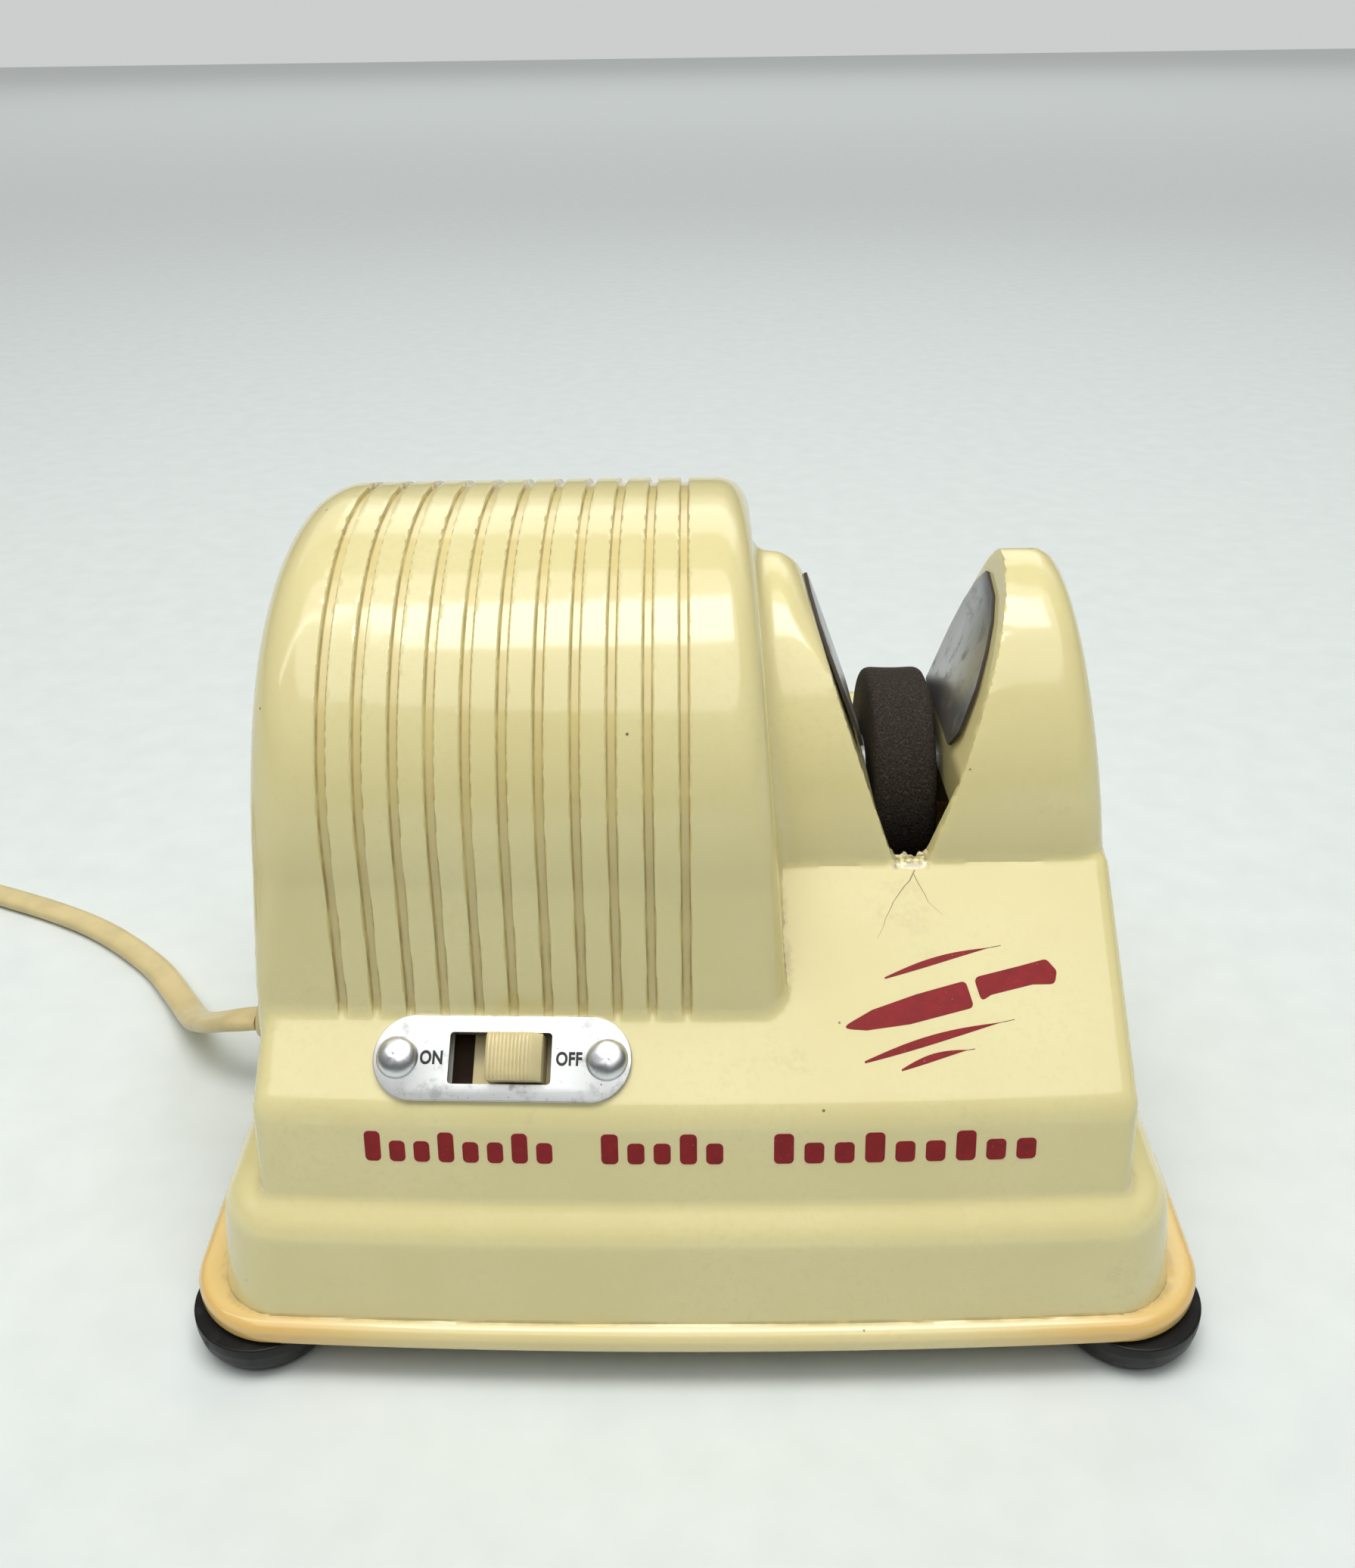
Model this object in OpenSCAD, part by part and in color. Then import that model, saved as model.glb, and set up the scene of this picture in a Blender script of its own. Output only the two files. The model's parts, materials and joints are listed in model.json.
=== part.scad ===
// Electric knife sharpener: a grooved motor dome, an abrasive wheel in a V notch
// with steel guide plates, a slide switch on the front deck and a flat mains cord.
// The front faces -Y, the wheel turns about X, and the feet stand on z = 0.

/* [Base] */
// Half width of the rim bead at the middle of a side
rim_half_w = 74.0; // [73.5:0.5:76]
// Half depth of the rim bead at the middle of the front
rim_half_d = 64.2; // [64:0.2:66]
// Height of the rubber feet
foot_h = 6.0; // [5:0.5:8]
// Radius of a rubber foot at its top
foot_r = 10.4; // [8:0.2:10.6]

/* [Deck] */
// Half width of the block that carries the deck
block_half_w = 60.3; // [60:0.1:61]
// Height of the crease between the front strip and the sloping deck
crease_z = 40.8; // [40:0.2:42]
// Distance of the crease in front of the wheel axis
crease_d = 55.4; // [55:0.2:56]
// Height of the flat top of the deck
deck_top_z = 64.2; // [63.6:0.2:64.6]
// Distance of the deck's top edge in front of the wheel axis
deck_top_d = 29.1; // [28.5:0.1:30]

/* [Dome] */
// Height of the crown of the motor dome
crown_z = 109.9; // [109:0.1:112]
// Half depth of the dome where it is deepest
dome_half_d = 43.75; // [43:0.25:45]
// Distance between two neighbouring grooves
groove_pitch = 4.7625; // [4.6:0.0125:4.9]
// Number of grooves over the dome
groove_count = 11; // [9:1:11]
// Depth of a groove
groove_depth = 0.8; // [0.5:0.1:1.2]

/* [Head] */
// Middle of the V notch along X
notch_x = 31.3; // [31:0.1:31.6]
// Tilt of each notch face from upright, in degrees
notch_tilt = 19.5; // [18:0.5:20]
// Height of the guards' crest
guard_z = 100.7; // [99:0.1:102]
// Diameter of the abrasive wheel
wheel_d = 35.0; // [33:0.5:36]
// Width of the abrasive wheel
wheel_w = 9.5; // [8.5:0.25:9.5]
// Height of the wheel axis
axis_z = 62.5; // [62:0.1:63]

/* [Switch] */
// Distance between the two rivets
rivet_pitch = 28.6; // [28:0.1:29]
// Travel of the slide button from OFF to ON
switch_travel = 4.4; // [4:0.1:4.6]

/* [Hidden] */
$fn = 64;
e = 0.01;

wall = 2.5;
cream = [0.93, 0.88, 0.70];
steel = [0.75, 0.76, 0.78];
zinc = [0.66, 0.67, 0.68];

// Base
bow_r = 1100;
rim_z0 = foot_h;
rim_z1 = foot_h + 3.8;
rim_corner_r = 12;
skirt_half_w = rim_half_w - 4.6;
skirt_half_d = rim_half_d - 2.4;
skirt_corner_r = 9;
skirt_z1 = 24.2;
ledge_z = 27.4;
ledge_half_w = skirt_half_w - 2.2;
ledge_half_d = skirt_half_d - 2.2;
plate_t = 1.6;
plate_gap = 0.3;
foot_x = 62.5;
foot_y = 53.0;
boss_r = 4.2;
screw_r = 1.75;

// Deck and strip
strip_d = crease_d + 2.0;
strip_z0 = 28.0;
deck_tilt = atan2(deck_top_z - crease_z, crease_d - deck_top_d);

// Dome
dome_b = 40.9;
dome_spring_z = crown_z - dome_b;
dome_n = 2.17;
dome_foot_z = 42;
dome_draft = 5.1;
dome_left_x = -59.2;
dome_right_x = 9.2;
dome_left_r = 8.5;
dome_right_r = 4.5;
groove_w = 1.3;
groove_x0 = -48.4;

// Head
notch_half_floor = 2.5;
guard_half_d = 29.5;
guard_spring_z = 62;
guard_rear_y = 6;
guard_outer_x0 = block_half_w - 0.2;
guard_outer_x1 = 56.0;
slot_x0 = 26.4;
slot_x1 = 38.0;
slot_y0 = -27.4;
slot_y1 = 23.4;
slot_z1 = 76.2;
wheel_x = 32.2;
wheel_x0 = wheel_x - wheel_w / 2;
wheel_x1 = wheel_x + wheel_w / 2;
guide_t = 0.6;

// Shaft train
shaft_r = 3.175;
shaft_fit = 0.05;
shaft_x0 = -56;
thread_r = 2.8;
shaft_x1 = wheel_x1 + 7;
flange_r = 6.5;
flange_t = 1.5;
nut_t = 3.5;
hub_pocket_r = 8;
dust_wall_x = 19.5;
dust_wall_t = 2;

// Motor
stack_x0 = -33;
stack_x1 = -9;
stack_half_d = 27;
stack_z0 = 27;
stack_z1 = 84;
yoke_z1 = 39;
window_half_d = 15;
window_z1 = 47.5;
rotor_r = 12.7;
air_gap = 0.4;
shade_w = 7;
coil_t = 6.5;
coil_half_d = 14;
bracket_t = 2.5;
bracket_left_x = -45.5;
bracket_right_x = 1.5;
bracket_half_d = 24;
bracket_z1 = 78;
bracket_foot = 10;
bearing_r = 5.5;
bolt_y = 21;
bolt_r = 2;
bracket_screw_y = 17;
plate_z1 = rim_z0 + plate_t;

// Switch, in the deck's own frame: x along the deck, y up the slope, z out of it
switch_x = -26.05;
switch_s = 7.5;
switch_plate_w = 35.3;
switch_plate_h = 11.4;
switch_plate_t = 0.7;
window_w = 14.0;
window_h = 6.9;
window_x = -0.25;
button_w = 7.5;
button_h = 6.3;
button_out = 3.8;
button_off_x = window_x - window_w / 2 + 1 + button_w / 2 + switch_travel;
deck_sink = 2.75;
frame_w = 23;
frame_h = 10.6;
frame_d = 8;
frame_t = 0.6;

// Cord: a flat two-core cord, all points in millimetres
cord_w = 5.3;
cord_t = 2.8;
gland_y = -1;
gland_z = 14.6;
gland_r = 3.9;
cord_exit = [-77, gland_y, gland_z];
cord_route = [cord_exit, [-82, -0.2, 13.6], [-87.5, 3, 10.6], [-92.5, 8.5, 6.8], [-97, 15.5, 3.8],
    [-102.5, 23.5, 2.1], [-109, 31.5, 1.5], [-118, 39.5, 1.5], [-127, 46, 1.5], [-137, 51.5, 1.5],
    [-148, 56.5, 1.5], [-160, 61.5, 1.5], [-172, 66.5, 1.5], [-183, 71.1, 1.5], [-189.6, 73.7, 1.5]];
coil_c = [-203.5, 40.6];
coil_r0 = 22;
coil_r1 = 38.6;
coil_h = 8.8;
tail_x = coil_c[0] - 24.7;
plug_y = coil_c[1] - 54;
cord_tail_route = [for (p = [[14, 10.1], [22, 10.2], [30, 10.1], [38, 8.2], [46, 5.6], [54, 4.5]])
    [tail_x, coil_c[1] - p[0], p[1]]];
plug_l = 24;
plug_z = 4.5;
blade_pitch = 12.7;

// ---------- outlines ----------

// A rounded rectangle's outline whose four sides bow outward with radius bow_r
function corner_arc(hw, hd, r, quadrant) =
    let(sx = [1, -1, -1, 1][quadrant], sy = [1, 1, -1, -1][quadrant])
    [for (i = [0 : 8]) let(a = 90 * quadrant + i * 90 / 8)
        [sx * (hw - r) + r * cos(a), sy * (hd - r) + r * sin(a)]];
function side_steps(p, q) = [for (i = [1 : 7]) p + (q - p) * i / 8];
function round_rect(hw, hd, r) =
    let(c = [for (k = [0 : 3]) corner_arc(hw, hd, r, k)])
    [for (k = [0 : 3]) each concat(c[k], side_steps(c[k][8], c[(k + 1) % 4][0]))];
function bowed(p, hw, hd) =
    [p[0] * (1 - p[1] * p[1] / (2 * bow_r * hw)), p[1] * (1 - p[0] * p[0] / (2 * bow_r * hd))];
function plan_points(hw, hd, r) = [for (p = round_rect(hw, hd, r)) bowed(p, hw, hd)];

// Deck line at distance t inside the deck's surface
function deck_z_at(d, t) = crease_z + (crease_d - d) * tan(deck_tilt) - t / cos(deck_tilt);
function deck_d_at(z, t) = crease_d - (z - crease_z + t / cos(deck_tilt)) / tan(deck_tilt);
function block_outline(t, z0) = [
    [-4, z0],
    [strip_d - t, z0],
    [strip_d - t, strip_z0],
    [crease_d - t, deck_z_at(crease_d - t, t)],
    [deck_d_at(deck_top_z - t, t), deck_top_z - t],
    [-4, deck_top_z - t]];

// Quarter of the dome's arch: a superellipse on a slightly flared foot
function dome_outline(t) =
    let(a = dome_half_d - t, b = dome_b - t, foot = (dome_spring_z - dome_foot_z) * tan(dome_draft))
    concat(
        [[-4, dome_foot_z], [a + foot, dome_foot_z]],
        [for (i = [0 : 18]) let(u = 90 * i / 18)
            [a * pow(cos(u), 2 / dome_n), dome_spring_z + b * pow(sin(u), 2 / dome_n)]],
        [[-4, dome_spring_z + b]]);

// A half profile turned about the far axis that bows the front, and its mirror behind
module bowed_half(points) {
    sweep = 8;
    translate([0, bow_r, 0])
        rotate([0, 0, -90 - sweep / 2])
            rotate_extrude(angle = sweep, $fn = 1440)
                polygon([for (p = points) [bow_r + p[0], p[1]]]);
}

module bowed_body(points) {
    bowed_half(points);
    mirror([0, 1, 0]) bowed_half(points);
}

module slab(hw, hd, r, z0, z1) {
    translate([0, 0, z0]) linear_extrude(z1 - z0) polygon(plan_points(hw, hd, r));
}

module x_rod(r, x0, x1) {
    translate([x0, 0, 0]) rotate([0, 90, 0]) cylinder(r = r, h = x1 - x0);
}

module on_axis() {
    translate([0, 0, axis_z]) children();
}

// ---------- housing ----------

module block_solid(t, z0) {
    intersection() {
        bowed_body(block_outline(t, z0));
        translate([-block_half_w + t, -70, 0]) cube([2 * (block_half_w - t), 140, 120]);
    }
}

// Front view of the dome: drafted ends and rounded shoulders
function dome_front(t) =
    let(zt = crown_z - t, xl = dome_left_x + t, xr = dome_right_x - t, rl = dome_left_r, rr = dome_right_r)
    concat(
        [[xl - 1.8, dome_foot_z]],
        [for (i = [0 : 6]) let(a = 180 - 15 * i) [xl + rl + rl * cos(a), zt - rl + rl * sin(a)]],
        [for (i = [0 : 6]) let(a = 90 - 15 * i) [xr - rr + rr * cos(a), zt - rr + rr * sin(a)]],
        [[xr + 4.3, dome_foot_z]]);

module dome_solid(t) {
    intersection() {
        bowed_body(dome_outline(t));
        translate([0, 70, 0]) rotate([90, 0, 0]) linear_extrude(140) polygon(dome_front(t));
    }
}

module groove_cutters() {
    difference() {
        for (i = [0 : groove_count - 1])
            translate([groove_x0 + i * groove_pitch - groove_w / 2, -60, 49])
                cube([groove_w, 120, 80]);
        bowed_body(dome_outline(groove_depth));
    }
}

// Side view of a guard: a quarter ellipse in front and a steep back
function guard_side(t) =
    let(a = guard_half_d - t, b = guard_z - guard_spring_z - t, ry = guard_rear_y - t)
    concat(
        [[-a, guard_spring_z - 8]],
        [for (i = [0 : 12]) let(u = 90 * i / 12) [-a * cos(u), guard_spring_z + b * sin(u)]],
        [for (i = [1 : 4]) let(u = 22.5 * i)
            [ry * sin(u), guard_z - t - 6 * (1 - cos(u))]],
        [[ry + 2, guard_spring_z - 8]]);

// Front view of the pair of guards, with the notch left out
function notch_edge(z, side, t) =
    notch_x + side * (notch_half_floor + (z - deck_top_z) * tan(notch_tilt) + t / cos(notch_tilt));
function guard_front_right(t) = [
    [notch_edge(guard_spring_z - 8, 1, t), guard_spring_z - 8],
    [guard_outer_x0 - t, guard_spring_z - 8],
    [guard_outer_x0 - t, deck_top_z - 1],
    [guard_outer_x1 - t, 97.5],
    [guard_outer_x1 - 3.6 - t, guard_z - t],
    [notch_edge(guard_z - t, 1, t), guard_z - t]];
function guard_front_left(t) = [
    [dome_right_x - 4, guard_spring_z - 8],
    [notch_edge(guard_spring_z - 8, -1, t), guard_spring_z - 8],
    [notch_edge(94, -1, t), 94],
    [notch_edge(94, -1, t) - 5, guard_z - t],
    [dome_right_x - 4, guard_z - t]];

module guard_solid(front, side) {
    intersection() {
        translate([0, 70, 0]) rotate([90, 0, 0]) linear_extrude(140) polygon(front);
        rotate([90, 0, 90]) linear_extrude(70) polygon(side);
    }
}

module guards(t) {
    guard_solid(guard_front_right(t), guard_side(t));
    guard_solid(guard_front_left(t), guard_side(t));
}

module cavity() {
    slab(skirt_half_w - wall, skirt_half_d - wall, skirt_corner_r - wall, rim_z0 - 1, skirt_z1 - 0.4);
    block_solid(wall, skirt_z1 - 2);
    dome_solid(wall);
    guards(wall);
}

// Wall that keeps grinding dust out of the motor space, open below the shaft
module dust_wall() {
    difference() {
        intersection() {
            union() {
                block_solid(wall - 1, strip_z0);
                guards(wall - 1);
            }
            translate([dust_wall_x, -60, strip_z0]) cube([dust_wall_t, 120, 80]);
        }
        translate([dust_wall_x - 1, -5, 0]) cube([dust_wall_t + 2, 10, axis_z]);
        on_axis() x_rod(5, dust_wall_x - 1, dust_wall_x + dust_wall_t + 1);
    }
}

module deck_frame() {
    bow_shift = switch_x * switch_x / (2 * bow_r);
    translate([switch_x, -crease_d + bow_shift, crease_z])
        rotate([0, 0, asin(switch_x / bow_r)]) rotate([deck_tilt, 0, 0]) translate([0, switch_s, 0]) children();
}

module at_feet() {
    for (sx = [-1, 1], sy = [-1, 1]) translate([sx * foot_x, sy * foot_y, 0]) children();
}

module housing() {
    color(cream) {
        difference() {
            union() {
                slab(rim_half_w, rim_half_d, rim_corner_r, rim_z0, rim_z1);
                slab(skirt_half_w, skirt_half_d, skirt_corner_r, rim_z1 - e, skirt_z1);
                slab(ledge_half_w, ledge_half_d, skirt_corner_r - 2, skirt_z1 - e, ledge_z);
                block_solid(0, ledge_z - 2);
                dome_solid(0);
                guards(0);
            }
            cavity();
            groove_cutters();
            translate([slot_x0, slot_y0, 50]) cube([slot_x1 - slot_x0, slot_y1 - slot_y0, slot_z1 - 50]);
            on_axis() x_rod(hub_pocket_r, dust_wall_x + dust_wall_t, 46);
            deck_frame() translate([window_x, 0, -6]) linear_extrude(12) square([18, 8.6], center = true);
            deck_frame() for (s = [-1, 1]) translate([s * rivet_pitch / 2, 0, -6]) cylinder(r = 1.6, h = 12);
            translate([0, gland_y, gland_z]) x_rod(gland_r + 0.1, -rim_half_w - 2, -skirt_half_w + wall + 3);
        }
        dust_wall();
        difference() {
            intersection() {
                at_feet() translate([0, 0, plate_z1]) cylinder(r = boss_r, h = 16);
                slab(skirt_half_w - 1, skirt_half_d - 1, skirt_corner_r - 1, rim_z0, skirt_z1);
            }
            at_feet() translate([0, 0, plate_z1 - 1]) cylinder(r = screw_r, h = 14);
        }
    }
}

module base_plate() {
    color("gray") difference() {
        slab(skirt_half_w - wall - plate_gap, skirt_half_d - wall - plate_gap,
            skirt_corner_r - wall, rim_z0, plate_z1);
        at_feet() translate([0, 0, rim_z0 - 1]) cylinder(r = screw_r, h = plate_t + 2);
        at_bracket_screws() translate([0, 0, rim_z0 - 1]) cylinder(r = bolt_r, h = plate_t + 2);
        for (i = [-2 : 2]) translate([-21 + i * 7, 0, rim_z0 - 1])
            linear_extrude(plate_t + 2) square([3, 30], center = true);
    }
}

module foot() {
    color([0.08, 0.08, 0.08]) rotate_extrude()
        polygon([[screw_r + 0.2, 3], [3.7, 3], [3.7, 0], [foot_r - 2.6, 0], [foot_r - 1.2, 0.7],
            [foot_r - 0.3, 2.2], [foot_r, 4.2], [foot_r, foot_h], [screw_r + 0.2, foot_h]]);
}

module foot_at(sx, sy) {
    translate([sx * foot_x, sy * foot_y, 0]) foot();
}

module foot_screws() {
    color(steel) at_feet() {
        translate([0, 0, 1.2]) cylinder(r = 3.4, h = 1.8);
        cylinder_from(3, 18, screw_r);
    }
}

module cylinder_from(z0, z1, r) {
    translate([0, 0, z0 - e]) cylinder(r = r, h = z1 - z0 + e);
}

// ---------- motor ----------

module stator_stack() {
    color(zinc) rotate([90, 0, 90]) translate([0, 0, stack_x0]) linear_extrude(stack_x1 - stack_x0)
        difference() {
            translate([-stack_half_d, stack_z0]) square([2 * stack_half_d, stack_z1 - stack_z0]);
            translate([-window_half_d, yoke_z1]) square([2 * window_half_d, window_z1 - yoke_z1]);
            translate([0, axis_z]) circle(r = rotor_r + air_gap);
            translate([-1.5, window_z1 - 1]) square([3, 6]);
            for (s = [-1, 1]) {
                translate([s * bolt_y, axis_z]) circle(r = bolt_r);
                at_shade(s) {
                    translate([-0.9, 0]) square([1.8, 9]);
                    translate([s * shade_w - 0.9, 5.4]) square([1.8, 3.4]);
                }
            }
        }
}

// The corner of a pole that carries a shading loop, in the plane of the laminations
module at_shade(s) {
    translate([s * 9.6, axis_z + 7]) rotate(-s * 30) children();
}

module bobbin() {
    gap = 0.3;
    color("ivory") difference() {
        union() {
            for (s = [-1, 1]) translate([stack_x0 - coil_t - 0.5, s * coil_half_d - 0.6, stack_z0 - coil_t])
                cube([stack_x1 - stack_x0 + 2 * coil_t + 1, 1.2, window_z1 - stack_z0 + coil_t - 0.6]);
            translate([stack_x0 - 1.3, -coil_half_d, stack_z0 - 1.3])
                cube([stack_x1 - stack_x0 + 2.6, 2 * coil_half_d, yoke_z1 - stack_z0 + 2.6]);
        }
        translate([stack_x0 - gap, -20, stack_z0 - gap])
            cube([stack_x1 - stack_x0 + 2 * gap, 40, yoke_z1 - stack_z0 + 2 * gap]);
    }
}

module winding() {
    inner = 1.3;
    l = coil_half_d - 0.6;
    color([0.72, 0.40, 0.20]) difference() {
        translate([stack_x0 - coil_t, -l, stack_z0 - coil_t])
            cube([stack_x1 - stack_x0 + 2 * coil_t, 2 * l, yoke_z1 - stack_z0 + 2 * coil_t]);
        translate([stack_x0 - inner, -20, stack_z0 - inner])
            cube([stack_x1 - stack_x0 + 2 * inner, 40, yoke_z1 - stack_z0 + 2 * inner]);
    }
}

// Copper loops through the slot of each pole, closed across both ends of the stack
module shading_rings() {
    leg = 1.5;
    depth = 3;
    bar = 1.8;
    color([0.80, 0.50, 0.28]) for (s = [-1, 1]) rotate([90, 0, 90]) {
        translate([0, 0, stack_x0 - e]) linear_extrude(stack_x1 - stack_x0 + 2 * e) at_shade(s)
            for (x = [0, s * shade_w]) translate([x - leg / 2, 5.6]) square([leg, depth]);
        for (x = [stack_x0 - bar, stack_x1]) translate([0, 0, x]) linear_extrude(bar) at_shade(s)
            translate([min(0, s * shade_w) - leg / 2, 5.6]) square([shade_w + leg, depth]);
    }
}

module stack_spacers() {
    color(steel) on_axis() for (s = [-1, 1]) translate([0, s * bolt_y, 0])
        for (span = [[bracket_left_x + bracket_t, stack_x0], [stack_x1, bracket_right_x]])
            difference() {
                x_rod(3.5, span[0], span[1]);
                x_rod(bolt_r, span[0] - 1, span[1] + 1);
            }
}

module through_bolts() {
    color(steel) on_axis() for (s = [-1, 1]) translate([0, s * bolt_y, 0]) {
        x_rod(3.4, bracket_left_x - 2.4, bracket_left_x);
        x_rod(bolt_r, bracket_left_x - e, bracket_right_x + bracket_t + 5);
    }
}

module through_nuts() {
    color(steel) on_axis() for (s = [-1, 1]) translate([bracket_right_x + bracket_t, s * bolt_y, 0])
        rotate([0, 90, 0]) difference() {
            cylinder(r = 4, h = 3, $fn = 6);
            translate([0, 0, -1]) cylinder(r = bolt_r, h = 5);
        }
}

module bracket(x, side) {
    flange_x = side < 0 ? x - bracket_foot + bracket_t : x;
    color(zinc) difference() {
        union() {
            translate([x, -bracket_half_d, plate_z1]) cube([bracket_t, 2 * bracket_half_d, bracket_z1 - plate_z1]);
            translate([flange_x, -bracket_half_d, plate_z1]) cube([bracket_foot, 2 * bracket_half_d, 2]);
        }
        on_axis() x_rod(bearing_r, x - 1, x + bracket_t + 1);
        on_axis() for (s = [-1, 1]) translate([0, s * bolt_y, 0]) x_rod(bolt_r, x - 1, x + bracket_t + 1);
        translate([x - 1, -10, 22]) cube([bracket_t + 2, 20, 20]);
        for (s = [-1, 1]) translate([bracket_screw_x(x, side), s * bracket_screw_y, 0])
            cylinder(r = bolt_r, h = 20);
    }
}

function bracket_screw_x(x, side) = side < 0 ? x - 3.5 : x + bracket_t + 3.5;

module at_bracket_screws() {
    for (s = [-1, 1]) {
        translate([bracket_screw_x(bracket_left_x, -1), s * bracket_screw_y, 0]) children();
        translate([bracket_screw_x(bracket_right_x, 1), s * bracket_screw_y, 0]) children();
    }
}

module bracket_screws() {
    color(steel) at_bracket_screws() {
        cylinder_from(rim_z0 - 2, rim_z0, 3.6);
        cylinder_from(rim_z0, plate_z1 + 6, bolt_r);
    }
}

module bracket_nuts() {
    color(steel) at_bracket_screws() translate([0, 0, plate_z1 + 2]) difference() {
        cylinder(r = 3.3, h = 3, $fn = 6);
        translate([0, 0, -1]) cylinder(r = bolt_r, h = 5);
    }
}

module bearing(x0, x1) {
    color([0.70, 0.52, 0.28]) on_axis() difference() {
        x_rod(bearing_r, x0, x1);
        x_rod(shaft_r + shaft_fit, x0 - 1, x1 + 1);
    }
}

// ---------- parts on the shaft ----------

module motor_shaft() {
    color(steel) on_axis() {
        x_rod(shaft_r, shaft_x0, wheel_x1);
        x_rod(thread_r, wheel_x1 - e, shaft_x1);
    }
}

module ring_on_shaft(r, bore, x0, x1) {
    on_axis() difference() {
        x_rod(r, x0, x1);
        x_rod(bore, x0 - 1, x1 + 1);
    }
}

module rotor() {
    color(zinc) ring_on_shaft(rotor_r, shaft_r, stack_x0 - 0.5, stack_x1 + 0.5);
}

module thrust_collars() {
    color("dimgray") {
        ring_on_shaft(5, shaft_r, bracket_left_x + bracket_t + 1.7, stack_x0 - 1);
        ring_on_shaft(5, shaft_r, stack_x1 + 1, bracket_right_x - 1.2);
    }
}

module cooling_fan() {
    hub_x0 = -55;
    hub_x1 = -48.6;
    color([0.30, 0.30, 0.32]) {
        ring_on_shaft(7, shaft_r, hub_x0, hub_x1);
        on_axis() for (i = [0 : 5]) rotate([60 * i, 0, 0])
            translate([(hub_x0 + hub_x1) / 2, 0, 14]) rotate([0, 0, 35])
                cube([1.2, 8, 17], center = true);
    }
}

module wheel_flange_inner() {
    color(steel) ring_on_shaft(flange_r, shaft_r, wheel_x0 - 3, wheel_x0);
}

module grinding_wheel() {
    color([0.20, 0.18, 0.16]) ring_on_shaft(wheel_d / 2, shaft_r, wheel_x0, wheel_x1);
}

module wheel_flange_outer() {
    color(steel) ring_on_shaft(flange_r, thread_r, wheel_x1, wheel_x1 + flange_t);
}

module arbor_nut() {
    x0 = wheel_x1 + flange_t;
    color(steel) on_axis() difference() {
        translate([x0, 0, 0]) rotate([0, 90, 0]) cylinder(r = 5.2, h = nut_t, $fn = 6);
        x_rod(thread_r, x0 - 1, x0 + nut_t + 1);
    }
}

// ---------- guide plates ----------

// Outline on the notch face: y along the notch, then the height
guide_outline = [[-18.2, 76.8], [-20.6, 80], [-18.6, 86], [-14.8, 90.4], [-11.1, 93.7], [-6.9, 96],
    [0.5, 97.2], [3, 94.6], [4.6, 90.6], [5.4, 86], [5.4, 76.8]];

module guide_plate(side) {
    k = 1 / cos(notch_tilt);
    floor_x = notch_edge(deck_top_z, side, 0);
    color(steel) translate([floor_x, 0, deck_top_z]) rotate([0, side * notch_tilt, 0])
        translate([side > 0 ? -guide_t : 0, 0, 0])
            rotate([90, 0, 90]) linear_extrude(guide_t)
                polygon([for (p = guide_outline) [p[0], (p[1] - deck_top_z) * k]]);
}

// ---------- switch ----------

module obround(w, h, t) {
    linear_extrude(t) {
        square([w - h, h], center = true);
        for (s = [-1, 1]) translate([s * (w - h) / 2, 0]) circle(d = h);
    }
}

module switch_plate() {
    color(steel) deck_frame() difference() {
        translate([0, 0, 0.05]) obround(switch_plate_w, switch_plate_h, switch_plate_t);
        translate([window_x, 0, -1]) linear_extrude(4) square([window_w, window_h], center = true);
        for (s = [-1, 1]) translate([s * rivet_pitch / 2, 0, -1]) cylinder(r = 1.5, h = 4);
    }
}

module switch_rivets() {
    top = switch_plate_t + 0.05;
    color(steel) deck_frame() for (s = [-1, 1]) translate([s * rivet_pitch / 2, 0, 0]) {
        translate([0, 0, top]) intersection() {
            cylinder(r = 2.85, h = 1.5);
            translate([0, 0, 1.5 - 3.45]) sphere(r = 3.45);
        }
        cylinder_from(-deck_sink - frame_t - 0.8, top + 0.1, 1.5);
        cylinder_from(-deck_sink - frame_t - 0.8, -deck_sink - frame_t, 2.4);
    }
}

// Folded steel frame: two ears under the deck and an open box between them
module switch_frame() {
    color(zinc) deck_frame() translate([0, 0, -deck_sink]) difference() {
        union() {
            translate([-rivet_pitch / 2 - 4, -frame_h / 2, -frame_t]) cube([rivet_pitch + 8, frame_h, frame_t]);
            translate([-frame_w / 2, -frame_h / 2, -frame_d]) cube([frame_w, frame_h, frame_d - frame_t + e]);
        }
        translate([-frame_w / 2 - 1, -frame_h / 2 + frame_t, -frame_d - 1])
            cube([frame_w + 2, frame_h - 2 * frame_t, frame_d + 1 - frame_t]);
        translate([window_x, 0, -frame_t - 1]) linear_extrude(3) square([window_w, window_h + 0.6], center = true);
        for (s = [-1, 1]) translate([s * rivet_pitch / 2, 0, -3]) cylinder(r = 1.5, h = 4);
    }
}

module switch_board() {
    color([0.35, 0.20, 0.12]) deck_frame() translate([0, 0, -deck_sink - frame_d])
        translate([-frame_w / 2, -frame_h / 2 + frame_t, -1])
            cube([frame_w, frame_h - 2 * frame_t, 3.2]);
}

module switch_terminals() {
    color([0.78, 0.68, 0.40]) deck_frame() for (s = [-1, 1])
        translate([s * 6 - 0.4, -2, -deck_sink - frame_d - 7]) cube([0.8, 4, 6]);
}

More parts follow.
